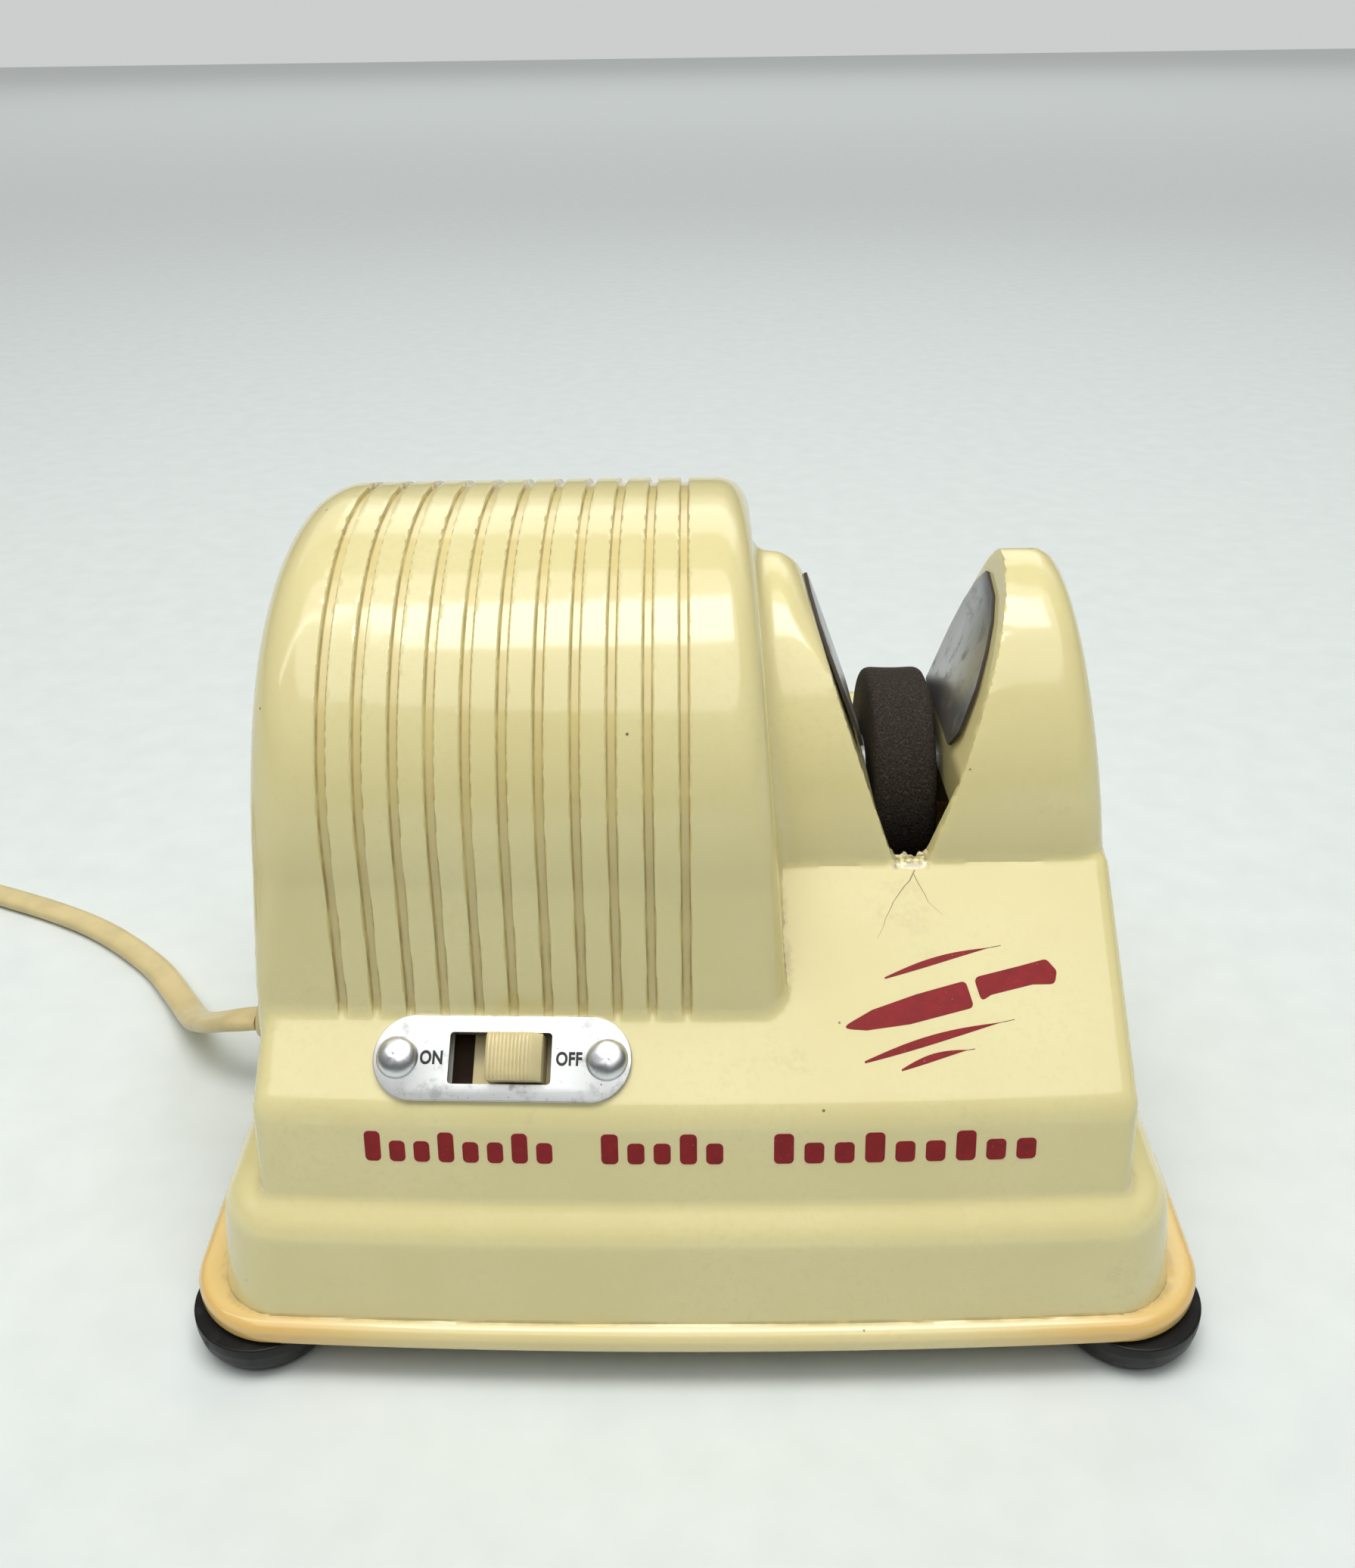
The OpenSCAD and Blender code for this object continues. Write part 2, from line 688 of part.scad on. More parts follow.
module switch_button() {
    slide_z1 = -deck_sink - frame_t - 0.3;
    slide_z0 = -deck_sink - frame_d + 2.6;
    color(cream) deck_frame() translate([button_off_x, 0, 0]) {
        translate([-button_w / 2, -button_h / 2, slide_z1 - e])
            cube([button_w, button_h, button_out - slide_z1 - 0.7]);
        intersection() {
            translate([-button_w / 2, -button_h / 2, 0]) cube([button_w, button_h, button_out]);
            translate([0, 0, button_out - 12]) rotate([0, 90, 0])
                cylinder(r = 12, h = button_w + 2, center = true);
        }
        translate([-6.5, -frame_h / 2 + frame_t + 0.3, slide_z0])
            cube([13, frame_h - 2 * frame_t - 0.6, slide_z1 - slide_z0]);
    }
}

// ---------- wires and cord ----------

function unit(v) = v / norm(v);
function catmull(a, b, c, d, t) =
    0.5 * (2 * b + (c - a) * t + (2 * a - 5 * b + 4 * c - d) * t * t + (3 * b - a - 3 * c + d) * t * t * t);
function smooth_path(p, steps) =
    let(n = len(p), q = concat([2 * p[0] - p[1]], p, [2 * p[n - 1] - p[n - 2]]))
    concat([for (i = [1 : n - 1], k = [0 : steps - 1]) catmull(q[i - 1], q[i], q[i + 1], q[i + 2], k / steps)],
        [p[n - 1]]);
function heading(p, i) =
    let(n = len(p)) unit(i == 0 ? p[1] - p[0] : i == n - 1 ? p[n - 1] - p[n - 2] : p[i + 1] - p[i - 1]);
function ring(c, t, w, h, sides) =
    let(s = unit(abs(t[2]) > 0.9 ? [0, 1, 0] : cross([0, 0, 1], t)), u = cross(t, s))
    [for (k = [0 : sides - 1]) let(a = 360 * (k + 0.5) / sides) c + s * w * cos(a) + u * h * sin(a)];

// A tube of elliptical section swept along a smooth route
module tube(route, w, h, steps, sides) {
    p = smooth_path(route, steps);
    n = len(p);
    f = 1 / cos(180 / sides);
    pts = [for (i = [0 : n - 1]) each ring(p[i], heading(p, i), w / 2 * f, h / 2 * f, sides)];
    skin = [for (i = [0 : n - 2], k = [0 : sides - 1])
        let(a = i * sides + k, b = i * sides + (k + 1) % sides) [a, b, b + sides, a + sides]];
    caps = [[for (k = [sides - 1 : -1 : 0]) k], [for (k = [0 : sides - 1]) (n - 1) * sides + k]];
    polyhedron(pts, concat(skin, caps), convexity = 6);
}

module lead_to_switch() {
    color("black") tube([[-56, -3, 15.4], [-53.5, -8, 15.6], [-51, -20, 16.5], [-44, -32, 22], [-36, -38, 28],
        [-32.2, -39.4, 31.5]], 2, 2, 2, 8);
}

module lead_switch_motor() {
    color("black") tube([[-20.0, -39.4, 31.5], [-20, -33, 26], [-21, -25, 21], [-21.0, -18, 20.6]], 2, 2, 2, 8);
}

module lead_to_motor() {
    color("black") tube([[-56, 1, 15.4], [-53.5, 8, 15.4], [-51, 19, 15.6], [-47, 27, 16], [-41, 28.5, 17],
        [-33, 24, 18.5], [-24, 18, 20]], 2, 2, 2, 8);
}

// Closed-end crimp caps between the leads and the winding's own tails
module splice_caps() {
    color("ivory") for (p = [[-21, -18, 20.6], [-24, 18, 20]])
        translate(p) rotate([0, 90, 0]) cylinder(r = 2.2, h = 8);
}

module strain_relief() {
    color([0.85, 0.78, 0.58]) translate([0, gland_y, gland_z]) rotate([0, -90, 0]) rotate_extrude()
        polygon([[0, 54.5], [5, 54.5], [5, 66.3], [gland_r, 66.3], [gland_r, 69.6], [4.7, 69.6], [4.7, 71],
            [3.4, 77], [0, 77]]);
}

module cord_run() {
    color([0.90, 0.84, 0.66]) tube(cord_route, cord_w, cord_t, 4, 8);
}

module cord_coil() {
    color([0.90, 0.84, 0.66]) translate([coil_c[0], coil_c[1], 0]) rotate_extrude()
        translate([coil_r0, 0]) square([coil_r1 - coil_r0, coil_h]);
}

module cord_tail() {
    color([0.90, 0.84, 0.66]) tube(cord_tail_route, cord_w, cord_t, 3, 8);
}

module plug_body() {
    color([0.90, 0.84, 0.66]) translate([tail_x, plug_y, plug_z]) rotate([90, 0, 0])
        linear_extrude(plug_l) {
            square([12, 8.8], center = true);
            for (s = [-1, 1]) translate([s * 6, 0]) circle(d = 8.8);
        }
}

module plug_blades() {
    color([0.80, 0.70, 0.42]) for (s = [-1, 1])
        translate([tail_x + s * blade_pitch / 2 - 0.75, plug_y - plug_l - 17, plug_z - 3.2])
            cube([1.5, 17, 6.4]);
}

housing();
base_plate();
foot_at(-1, -1);  // foot_front_left
foot_at(1, -1);  // foot_front_right
foot_at(-1, 1);  // foot_rear_left
foot_at(1, 1);  // foot_rear_right
foot_screws();
stator_stack();
bobbin();
winding();
shading_rings();
stack_spacers();
through_bolts();
through_nuts();
bracket(bracket_left_x, -1);  // bracket_left
bracket(bracket_right_x, 1);  // bracket_right
bearing(bracket_left_x - 1.5, bracket_left_x + bracket_t + 1.5);  // bearing_left
bearing(bracket_right_x - 1, bracket_right_x + bracket_t + 3);  // bearing_right
bracket_screws();
bracket_nuts();
motor_shaft();
rotor();
thrust_collars();
cooling_fan();
wheel_flange_inner();
grinding_wheel();
wheel_flange_outer();
arbor_nut();
guide_plate(-1);  // guide_plate_left
guide_plate(1);  // guide_plate_right
switch_plate();
switch_rivets();
switch_frame();
switch_board();
switch_terminals();
switch_button();
lead_to_switch();
lead_switch_motor();
lead_to_motor();
splice_caps();
strain_relief();
cord_run();
cord_coil();
cord_tail();
plug_body();
plug_blades();
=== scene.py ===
"""Looks of the electric knife sharpener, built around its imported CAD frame.

The sizes below are in millimetres and are the ones that part.scad uses; MM turns them into Blender's metres.
The housing is described by a signed distance and skinned by dual contouring, so its fillets, grooves and
edges are real geometry. Everything else is lathed, swept or extruded with its own edge rounding.
"""
import json
import math

import bmesh
import bpy
import numpy as np
from mathutils import Matrix, Vector


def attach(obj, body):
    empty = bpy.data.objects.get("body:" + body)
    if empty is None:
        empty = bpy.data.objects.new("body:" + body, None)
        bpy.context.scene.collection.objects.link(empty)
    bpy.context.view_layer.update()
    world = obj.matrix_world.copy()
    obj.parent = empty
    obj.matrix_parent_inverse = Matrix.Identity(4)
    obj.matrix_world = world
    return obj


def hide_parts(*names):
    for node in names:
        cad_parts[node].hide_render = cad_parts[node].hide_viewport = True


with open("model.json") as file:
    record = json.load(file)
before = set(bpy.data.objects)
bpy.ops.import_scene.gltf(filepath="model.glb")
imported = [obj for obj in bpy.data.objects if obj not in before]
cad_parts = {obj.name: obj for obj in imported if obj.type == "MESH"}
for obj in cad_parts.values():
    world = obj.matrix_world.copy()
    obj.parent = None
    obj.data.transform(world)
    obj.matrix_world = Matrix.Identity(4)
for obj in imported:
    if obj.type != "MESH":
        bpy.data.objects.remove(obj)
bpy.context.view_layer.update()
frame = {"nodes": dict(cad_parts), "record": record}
MM = 0.001
nodes = frame["nodes"]

# ---------- sizes, in millimetres ----------

BOW = 1100.0
FOOT_H = 6.0
FOOT_X, FOOT_Y = 62.5, 53.0
RIM = (74.0, 64.2, 12.0)
RIM_TOP = 9.8
SKIRT = (69.4, 62.2, 9.0)
LEDGE = (24.6, 36.0)
SKIRT_TOP = 27.5
SKIRT_DRAFT = 0.11
BLOCK_HALF_W = 60.3
STRIP = ((57.4, 28.0), (55.4, 40.8))
DECK_TOP = (29.1, 64.2)
DECK_TILT = math.atan2(DECK_TOP[1] - STRIP[1][1], STRIP[1][0] - DECK_TOP[0])
CROWN_Z = 109.9
DOME_HALF_D, DOME_H, DOME_N = 43.75, 40.9, 2.17
DOME_DRAFT = math.tan(math.radians(5.1))
GROOVE_X0, GROOVE_PITCH, GROOVES = -48.4, 4.7625, 11
GROOVE_W, GROOVE_DEPTH = 1.3, 0.8
NOTCH_X, NOTCH_FLOOR, NOTCH_SLOPE = 31.3, 2.5, math.tan(math.radians(19.5))
GUARD_Z, GUARD_D, GUARD_SPRING = 100.7, 29.5, 62.0
SLOT = ((26.4, 38.0), (-27.4, 23.4), (50.0, 76.2))
AXIS_Z = 62.5
WHEEL_X, WHEEL_W, WHEEL_R, WHEEL_BORE = 32.2, 9.5, 17.42, 3.3
WHEEL_HOLLOW = 0.14
WALL = 2.5
# the dome's ends: how far out they are at END_Z, and how much they lean
END_Z, LEFT_END, RIGHT_END = 104, (59.2, 0.029), (9.2, 0.0715)
# the rear of the two guards, and the outer face of the right one
REAR_SPRING, REAR_D, REAR_DRAFT = 90.7, 5.5, 0.08
OUTER_X, OUTER_Z, OUTER_LEAN = 60.1, 63.2, 0.1195
SWITCH_X, SWITCH_S = -26.05, 7.5
RIVET_PITCH = 28.6
PLATE = (35.3, 11.4, 0.7)
WINDOW = (14.0, 6.9)
WINDOW_X = -0.25
BUTTON = (7.5, 6.3, 3.8)
BUTTON_X = WINDOW_X - WINDOW[0] / 2 + 1 + BUTTON[0] / 2 + 4.4

# ---------- camera, floor and light ----------


CAMERA_AT = (0.898, -200.09, 171.72)
CAMERA_PITCH, CAMERA_YAW, CAMERA_ROLL = 0.44367, -0.01544, -0.01399
LENS, LENS_SHIFT = 32.143, -0.0556


def in_scene(name, data):
    """A new object that holds data, linked into the scene."""
    thing = bpy.data.objects.new(name, data)
    bpy.context.scene.collection.objects.link(thing)
    return thing


def make_camera():
    """A camera where the photographer's was: above the front edge, looking down a little."""
    pitch, yaw, roll = CAMERA_PITCH, CAMERA_YAW, CAMERA_ROLL
    forward = Vector((math.sin(yaw) * math.cos(pitch), math.cos(yaw) * math.cos(pitch), -math.sin(pitch)))
    side = Vector((math.cos(yaw), -math.sin(yaw), 0.0))
    up = side.cross(forward)
    right = side * math.cos(roll) + up * math.sin(roll)
    top = up * math.cos(roll) - side * math.sin(roll)
    data = bpy.data.cameras.new("camera")
    data.sensor_fit = "AUTO"
    data.sensor_width = 36.0
    data.lens = LENS
    data.shift_y = LENS_SHIFT
    data.clip_start, data.clip_end = 0.01, 10.0
    camera = in_scene("camera", data)
    rotation = Matrix((right, top, -forward)).transposed().to_4x4()
    camera.matrix_world = Matrix.Translation(Vector(CAMERA_AT) * MM) @ rotation
    bpy.context.scene.camera = camera


def area_light(name, at, toward, size, power, color):
    data = bpy.data.lights.new(name, "AREA")
    data.shape = "RECTANGLE"
    data.size, data.size_y = size
    data.energy = power
    data.color = color
    light = in_scene(name, data)
    light.location = at
    light.rotation_euler = (Vector(toward) - Vector(at)).to_track_quat("-Z", "Y").to_euler()


# name, place and aim in metres, size, power and colour
AREA_LIGHTS = (
    ("key", (0.02, -0.10, 0.95), (0, 0.0, 0.05), (0.62, 0.34), 4.1, (1.0, 0.985, 0.95)),
    ("back", (0.10, 0.85, 0.75), (0, 0, 0.05), (0.9, 0.4), 1.1, (0.95, 0.98, 1.0)),
    ("window", (-0.75, -0.15, 0.95), (0, 0.0, 0.03), (0.10, 0.9), 0.9, (1, 1, 1)),
    ("far", (0, 4.0, 2.2), (0, 4.0, 0), (6.0, 4.0), 36.0, (1, 1, 1)),
)
SKY_COLOR, SKY_POWER = (0.80, 0.82, 0.84, 1), 0.07
WALL_COLOR = (0.60, 0.62, 0.61, 1)
CEILING_POWER, CEILING_SPREAD, CEILING_TILT = 1.85, 70, 14
FLOOR_SIZE, FLOOR_Y = 40.0, 10.0
FLOOR_TONES = (0.665, 0.71, 0.69), (0.70, 0.745, 0.725)


def make_stage():
    bpy.ops.mesh.primitive_plane_add(size=FLOOR_SIZE, location=(0, FLOOR_Y, 0))
    floor = bpy.context.object
    floor.name = "floor"
    material, build = new_material("floor")
    tone = build.ramp(build.noise(9.0, 3.0), list(zip((0.3, 0.7), FLOOR_TONES)))
    build.finish(color=tone, roughness=0.62)
    floor.data.materials.append(material)
    world = bpy.data.worlds.new("studio")
    bpy.context.scene.world = world
    world.use_nodes = True
    sky = world.node_tree.nodes["Background"]
    sky.inputs["Color"].default_value = SKY_COLOR
    sky.inputs["Strength"].default_value = SKY_POWER
    # the camera sees a pale wall behind the floor, which itself sheds no light
    tree = world.node_tree
    wall = tree.nodes.new("ShaderNodeBackground")
    wall.inputs["Color"].default_value = WALL_COLOR
    rays = tree.nodes.new("ShaderNodeLightPath")
    blend = tree.nodes.new("ShaderNodeMixShader")
    tree.links.new(rays.outputs["Is Camera Ray"], blend.inputs[0])
    tree.links.new(sky.outputs[0], blend.inputs[1])
    tree.links.new(wall.outputs[0], blend.inputs[2])
    tree.links.new(blend.outputs[0], tree.nodes["World Output"].inputs[0])
    for light in AREA_LIGHTS:
        area_light(*light)
    data = bpy.data.lights.new("ceiling", "SUN")
    data.energy = CEILING_POWER
    data.angle = math.radians(CEILING_SPREAD)
    ceiling = in_scene("ceiling", data)
    ceiling.rotation_euler = (math.radians(CEILING_TILT), 0, 0)
    bpy.context.scene.view_settings.view_transform = "Standard"


# ---------- materials ----------


class Build:
    """A short way of writing a node tree. Positions are the object's own, in millimetres."""

    def __init__(self, tree):
        self.tree = tree
        self.shader = tree.nodes["Principled BSDF"]
        place = tree.nodes.new("ShaderNodeTexCoord")
        self.place = self.vector("SCALE", place.outputs["Object"], scale=1 / MM)
        self.xyz = tree.nodes.new("ShaderNodeSeparateXYZ")
        tree.links.new(self.place, self.xyz.inputs[0])

    def plug(self, socket, value):
        if isinstance(value, bpy.types.NodeSocket):
            self.tree.links.new(value, socket)
        elif value is not None:
            if hasattr(value, "__len__") and len(value) == 3 and socket.type == "RGBA":
                value = (*value, 1)
            socket.default_value = value

    def vector(self, operation, a, b=None, scale=None):
        node = self.tree.nodes.new("ShaderNodeVectorMath")
        node.operation = operation
        self.plug(node.inputs[0], a)
        self.plug(node.inputs[1], b)
        if scale is not None:
            node.inputs["Scale"].default_value = scale
        return node.outputs[0]

    def math(self, operation, a, b=None, c=None, clamp=False):
        node = self.tree.nodes.new("ShaderNodeMath")
        node.operation = operation
        node.use_clamp = clamp
        for socket, value in zip(node.inputs, (a, b, c)):
            self.plug(socket, value)
        return node.outputs[0]

    def times(self, a, b):
        return self.math("MULTIPLY", a, b)

    def plus(self, a, b):
        return self.math("ADD", a, b)

    def axis(self, name):
        return self.xyz.outputs[name]

    def texture(self, kind, stretch, **inputs):
        node = self.tree.nodes.new(kind)
        place = self.place if stretch is None else self.vector("MULTIPLY", self.place, stretch)
        self.plug(node.inputs["Vector"], place)
        for name, value in inputs.items():
            node.inputs[name].default_value = value
        return node

    def noise(self, scale_mm, detail=2.0, roughness=0.5, stretch=None):
        """Noise whose features are about scale_mm long; stretch squeezes it along an axis."""
        return self.texture("ShaderNodeTexNoise", stretch, Scale=1 / scale_mm, Detail=detail,
                            Roughness=roughness).outputs["Fac"]

    def cells(self, scale_mm, stretch=None):
        """Distance from the middle of the nearest of cells about scale_mm wide."""
        return self.texture("ShaderNodeTexVoronoi", stretch, Scale=1 / scale_mm).outputs["Distance"]

    def fade(self, value, low, high):
        """0 below low, 1 above high; the other way round where low is the larger."""
        node = self.tree.nodes.new("ShaderNodeMapRange")
        node.interpolation_type = "SMOOTHSTEP"
        self.plug(node.inputs["Value"], value)
        ends = (min(low, high), max(low, high), *((0, 1) if low < high else (1, 0)))
        for name, end in zip(("From Min", "From Max", "To Min", "To Max"), ends):
            node.inputs[name].default_value = end
        return node.outputs["Result"]

    def ramp(self, value, stops):
        node = self.tree.nodes.new("ShaderNodeValToRGB")
        band = node.color_ramp
        while len(band.elements) < len(stops):
            band.elements.new(0.5)
        for element, (at, color) in zip(band.elements, stops):
            element.position = at
            element.color = (*color, 1)
        self.plug(node.inputs[0], value)
        return node.outputs[0]

    def mix(self, amount, a, b, blend="MIX"):
        node = self.tree.nodes.new("ShaderNodeMix")
        node.data_type = "RGBA"
        node.blend_type = blend
        self.plug(node.inputs["Factor"], amount)
        self.plug(node.inputs["A"], a)
        self.plug(node.inputs["B"], b)
        return node.outputs["Result"]

    def tint(self, tone, mask, amount, color):
        """tone turned toward color by amount where mask is 1."""
        return self.mix(self.times(mask, amount), tone, color)

    def bump(self, height, depth_mm, below=None):
        node = self.tree.nodes.new("ShaderNodeBump")
        node.inputs["Strength"].default_value = 1.0
        node.inputs["Distance"].default_value = depth_mm * MM
        self.plug(node.inputs["Height"], height)
        self.plug(node.inputs["Normal"], below)
        return node.outputs[0]

    def finish(self, color, roughness, normal=None, metallic=0.0, **sockets):
        self.plug(self.shader.inputs["Base Color"], color)
        self.plug(self.shader.inputs["Roughness"], roughness)
        self.plug(self.shader.inputs["Normal"], normal)
        self.shader.inputs["Metallic"].default_value = metallic
        for name, value in sockets.items():
            self.shader.inputs[name.replace("_", " ")].default_value = value


def new_material(name):
    material = bpy.data.materials.new(name)
    material.use_nodes = True
    return material, Build(material.node_tree)


def cream_plastic():
    """Glossy cream plastic, yellowed with age and amber where the rim's corners stuck out."""
    material, build = new_material("cream_plastic")
    x, y, z = (build.axis(a) for a in "XYZ")
    last_groove = GROOVE_X0 + GROOVE_PITCH * (GROOVES - 1)
    mottle = build.noise(26.0, 3.0, 0.55)
    tone = build.ramp(mottle, [(0.32, (0.765, 0.680, 0.335)), (0.68, (0.805, 0.725, 0.385))])
    fine = build.noise(1.1, 3.0, 0.6)
    tone = build.mix(build.fade(fine, 0.45, 0.75), tone, (0.770, 0.690, 0.345))
    # the moulded rim has turned amber, most of all at its corners
    corner = build.fade(build.plus(build.math("ABSOLUTE", x), build.math("ABSOLUTE", y)), 96.0, 124.0)
    rim = build.fade(z, 10.6, 9.2)
    amber = build.times(corner, rim)
    tone = build.tint(tone, amber, 0.85, (0.78, 0.42, 0.07))
    tone = build.tint(tone, rim, 0.35, (0.78, 0.62, 0.30))
    # hand grime, a few dark specks and short dark scratches
    smudge = build.times(build.fade(build.noise(14.0, 4.0, 0.6), 0.60, 0.78),
                         build.fade(build.noise(0.9, 2.0), 0.35, 0.7))
    tone = build.tint(tone, smudge, 0.30, (0.42, 0.34, 0.20))
    specks = build.fade(build.cells(9.0), 0.030, 0.018)
    tone = build.tint(tone, specks, 0.8, (0.05, 0.035, 0.02))
    hair = build.fade(build.cells(21.0, stretch=(1.0, 1.0, 0.16)), 0.012, 0.006)
    tone = build.tint(tone, hair, 0.6, (0.12, 0.09, 0.05))
    # painted shade: the plastic is darker in patches in its concave creases, below z 66
    geometry = build.tree.nodes.new("ShaderNodeNewGeometry")
    hollow = build.fade(geometry.outputs["Pointiness"], 0.487, 0.462)
    crease_shade = build.times(hollow, build.fade(build.noise(3.2, 3.0), 0.35, 0.62))
    crease_shade = build.times(crease_shade, build.fade(z, 66.0, 60.0))
    tone = build.tint(tone, crease_shade, 0.32, (0.36, 0.28, 0.14))
    # painted shade in the grooves: each channel is tinted amber, and patchy dark lines run along its walls
    away = build.math("PINGPONG", build.plus(x, -GROOVE_X0), GROOVE_PITCH / 2)
    inner = build.times(build.fade(x, GROOVE_X0 - 1.2, GROOVE_X0 - 0.9),
                        build.fade(x, last_groove + 1.2, last_groove + 0.9))
    inner = build.times(inner, build.fade(z, 49.3, 50.6))
    groove_shade = build.times(inner, build.fade(away, 0.74, 0.60))
    tone = build.tint(tone, groove_shade, 0.45, (0.62, 0.50, 0.20))
    # painted shade: patchy dark lines along the groove walls
    wall = build.times(groove_shade, build.fade(away, 0.42, 0.58))
    patchy = build.fade(build.noise(5.0, 3.0), 0.30, 0.62)
    tone = build.tint(tone, build.times(wall, patchy), 0.60, (0.30, 0.22, 0.09))
    # and the chipped lip at the foot of the notch is stained
    across = build.fade(build.math("ABSOLUTE", build.plus(x, -NOTCH_X)), 3.0, 2.0)
    height = build.fade(build.math("ABSOLUTE", build.plus(z, -DECK_TOP[1] - 0.1)), 1.3, 0.7)
    stain = build.times(build.times(across, height), build.fade(build.noise(0.8, 3.0), 0.34, 0.58))
    stain = build.times(stain, build.fade(y, -20, -22))
    tone = build.tint(tone, stain, 0.75, (0.14, 0.11, 0.07))
    rough = build.plus(0.15, build.times(smudge, 0.25))
    ripple = build.bump(build.noise(7.0, 1.0), 0.012)
    skin = build.bump(build.noise(0.35, 2.0), 0.0025, ripple)
    build.finish(tone, rough, skin, Specular_IOR_Level=0.5, Subsurface_Weight=0.12,
                 Subsurface_Scale=0.003, Coat_Weight=0.35, Coat_Roughness=0.06)
    build.shader.inputs["Subsurface Radius"].default_value = (1.0, 0.7, 0.3)
    return material


def steel(name, color, roughness, grain_mm=0.25, grime=0.35, stretch=(0.08, 1, 1)):
    """Plain metal with a drawn grain, dull patches and dark grime in its pits."""
    material, build = new_material(name)
    grain = build.noise(grain_mm, 3.0, 0.6, stretch=stretch)
    patches = build.fade(build.noise(3.0, 4.0, 0.65), 0.52, 0.72)
    pits = build.fade(build.noise(0.5, 3.0, 0.7), 0.66, 0.74)
    tone = build.mix(patches, color, tuple(0.72 * c for c in color))
    tone = build.mix(build.times(pits, grime), tone, (0.06, 0.05, 0.04))
    rough = build.plus(roughness, build.times(patches, 0.16))
    rough = build.plus(rough, build.times(grain, 0.08))
    build.finish(tone, rough, build.bump(grain, 0.004), metallic=1.0)
    return material


def plain_plastic(name, color, roughness, mottle=0.85, coat=0.0):
    material, build = new_material(name)
    patch = build.fade(build.noise(6.0, 3.0), 0.35, 0.7)
    tone = build.mix(patch, color, tuple(mottle * c for c in color))
    rough = build.plus(roughness, build.times(build.noise(1.2, 3.0), 0.1))
    build.finish(tone, rough, build.bump(build.noise(0.4, 3.0), 0.006), Coat_Weight=coat)
    return material


def rubber():
    material, build = new_material("foot_rubber")
    dust = build.fade(build.noise(2.2, 5.0, 0.7), 0.5, 0.75)
    tone = build.mix(build.times(dust, 0.4), (0.006, 0.006, 0.006), (0.030, 0.028, 0.025))
    build.finish(tone, build.plus(0.42, build.times(dust, 0.3)),
                 build.bump(build.noise(0.8, 4.0), 0.02), Specular_IOR_Level=0.28)
    return material


def grit():
    """Bonded abrasive: dark grains with brown binder and pale glints."""
    material, build = new_material("abrasive")
    grain = build.cells(0.34)
    coarse = build.noise(1.3, 5.0, 0.7)
    tones = [(0.30, (0.006, 0.005, 0.004)), (0.52, (0.026, 0.019, 0.014)), (0.75, (0.075, 0.058, 0.045))]
    tone = build.ramp(build.noise(0.30, 2.0, 0.8), tones)
    tone = build.mix(build.fade(coarse, 0.5, 0.75), tone, (0.028, 0.020, 0.017))
    glint = build.fade(build.cells(0.9), 0.10, 0.05)
    tone = build.tint(tone, glint, 0.5, (0.18, 0.155, 0.13))
    height = build.plus(grain, build.times(coarse, 1.4))
    build.finish(tone, 0.86, build.bump(height, 0.09), Specular_IOR_Level=0.25)
    return material


def red_paint():
    """Screen-printed red, rubbed through in places."""
    material, build = new_material("red_paint")
    tone = build.ramp(build.noise(1.6, 4.0, 0.6), [(0.3, (0.21, 0.002, 0.004)), (0.7, (0.29, 0.004, 0.008))])
    rubbed = build.fade(build.noise(0.45, 4.0, 0.7), 0.66, 0.72)
    tone = build.tint(tone, rubbed, 0.6, (0.72, 0.42, 0.30))
    build.finish(tone, 0.42, build.bump(build.noise(0.25, 2.0), 0.004), Specular_IOR_Level=0.3)
    return material


def black_ink():
    material, build = new_material("black_ink")
    worn = build.fade(build.noise(0.25, 3.0, 0.7), 0.62, 0.72)
    build.finish(build.mix(build.times(worn, 0.5), (0.006, 0.006, 0.006), (0.10, 0.10, 0.10)), 0.5)
    return material


MATERIALS = {}


# colour and roughness, then what differs from the usual grain or mottle
METALS = {
    "plate_steel": ((0.50, 0.51, 0.50), 0.42),
    "steel": ((0.56, 0.56, 0.56), 0.34),
    "guide_steel": ((0.60, 0.60, 0.595), 0.30, 0.25, 0.5, (1, 1, 0.12)),
    "switch_steel": ((0.66, 0.68, 0.67), 0.36, 0.5, 0.8),
    "lamination": ((0.30, 0.30, 0.31), 0.5, 0.5, 0.35, (6, 0.2, 0.2)),
    "copper": ((0.72, 0.33, 0.14), 0.35, 0.3, 0.2, (1, 0.1, 1)),
    "bronze": ((0.55, 0.36, 0.15), 0.5),
    "brass": ((0.72, 0.55, 0.25), 0.32),
    "rivet_aluminium": ((0.80, 0.81, 0.83), 0.30, 0.6, 0.3, (1, 1, 1)),
}
PLASTICS = {
    "nylon": ((0.80, 0.77, 0.68), 0.45),
    "fibre": ((0.115, 0.055, 0.028), 0.6, 0.6),
    "fan_plastic": ((0.02, 0.02, 0.022), 0.45),
    "lead_plastic": ((0.012, 0.012, 0.012), 0.4),
    "cord_plastic": ((0.66, 0.54, 0.27), 0.34, 0.88, 0.2),
    "button_plastic": ((0.72, 0.62, 0.34), 0.36, 0.86, 0.15),
    # painted shade for the guide plates' edge faces
    "burnt_edge": ((0.035, 0.026, 0.018), 0.6),
    "old_dirt": ((0.22, 0.16, 0.085), 0.7),
}


def make_materials():
    MATERIALS.update(cream_plastic=cream_plastic(), foot_rubber=rubber(), abrasive=grit(),
                     red_paint=red_paint(), black_ink=black_ink())
    for table, maker in ((METALS, steel), (PLASTICS, plain_plastic)):
        MATERIALS.update({name: maker(name, *look) for name, look in table.items()})


# ---------- meshes ----------


def mesh_object(name, vertices, faces):
    """A mesh object from points in millimetres."""
    mesh = bpy.data.meshes.new(name)
    mesh.from_pydata(np.asarray(vertices, float) * MM, [], [list(f) for f in faces])
    return in_scene(name, mesh)


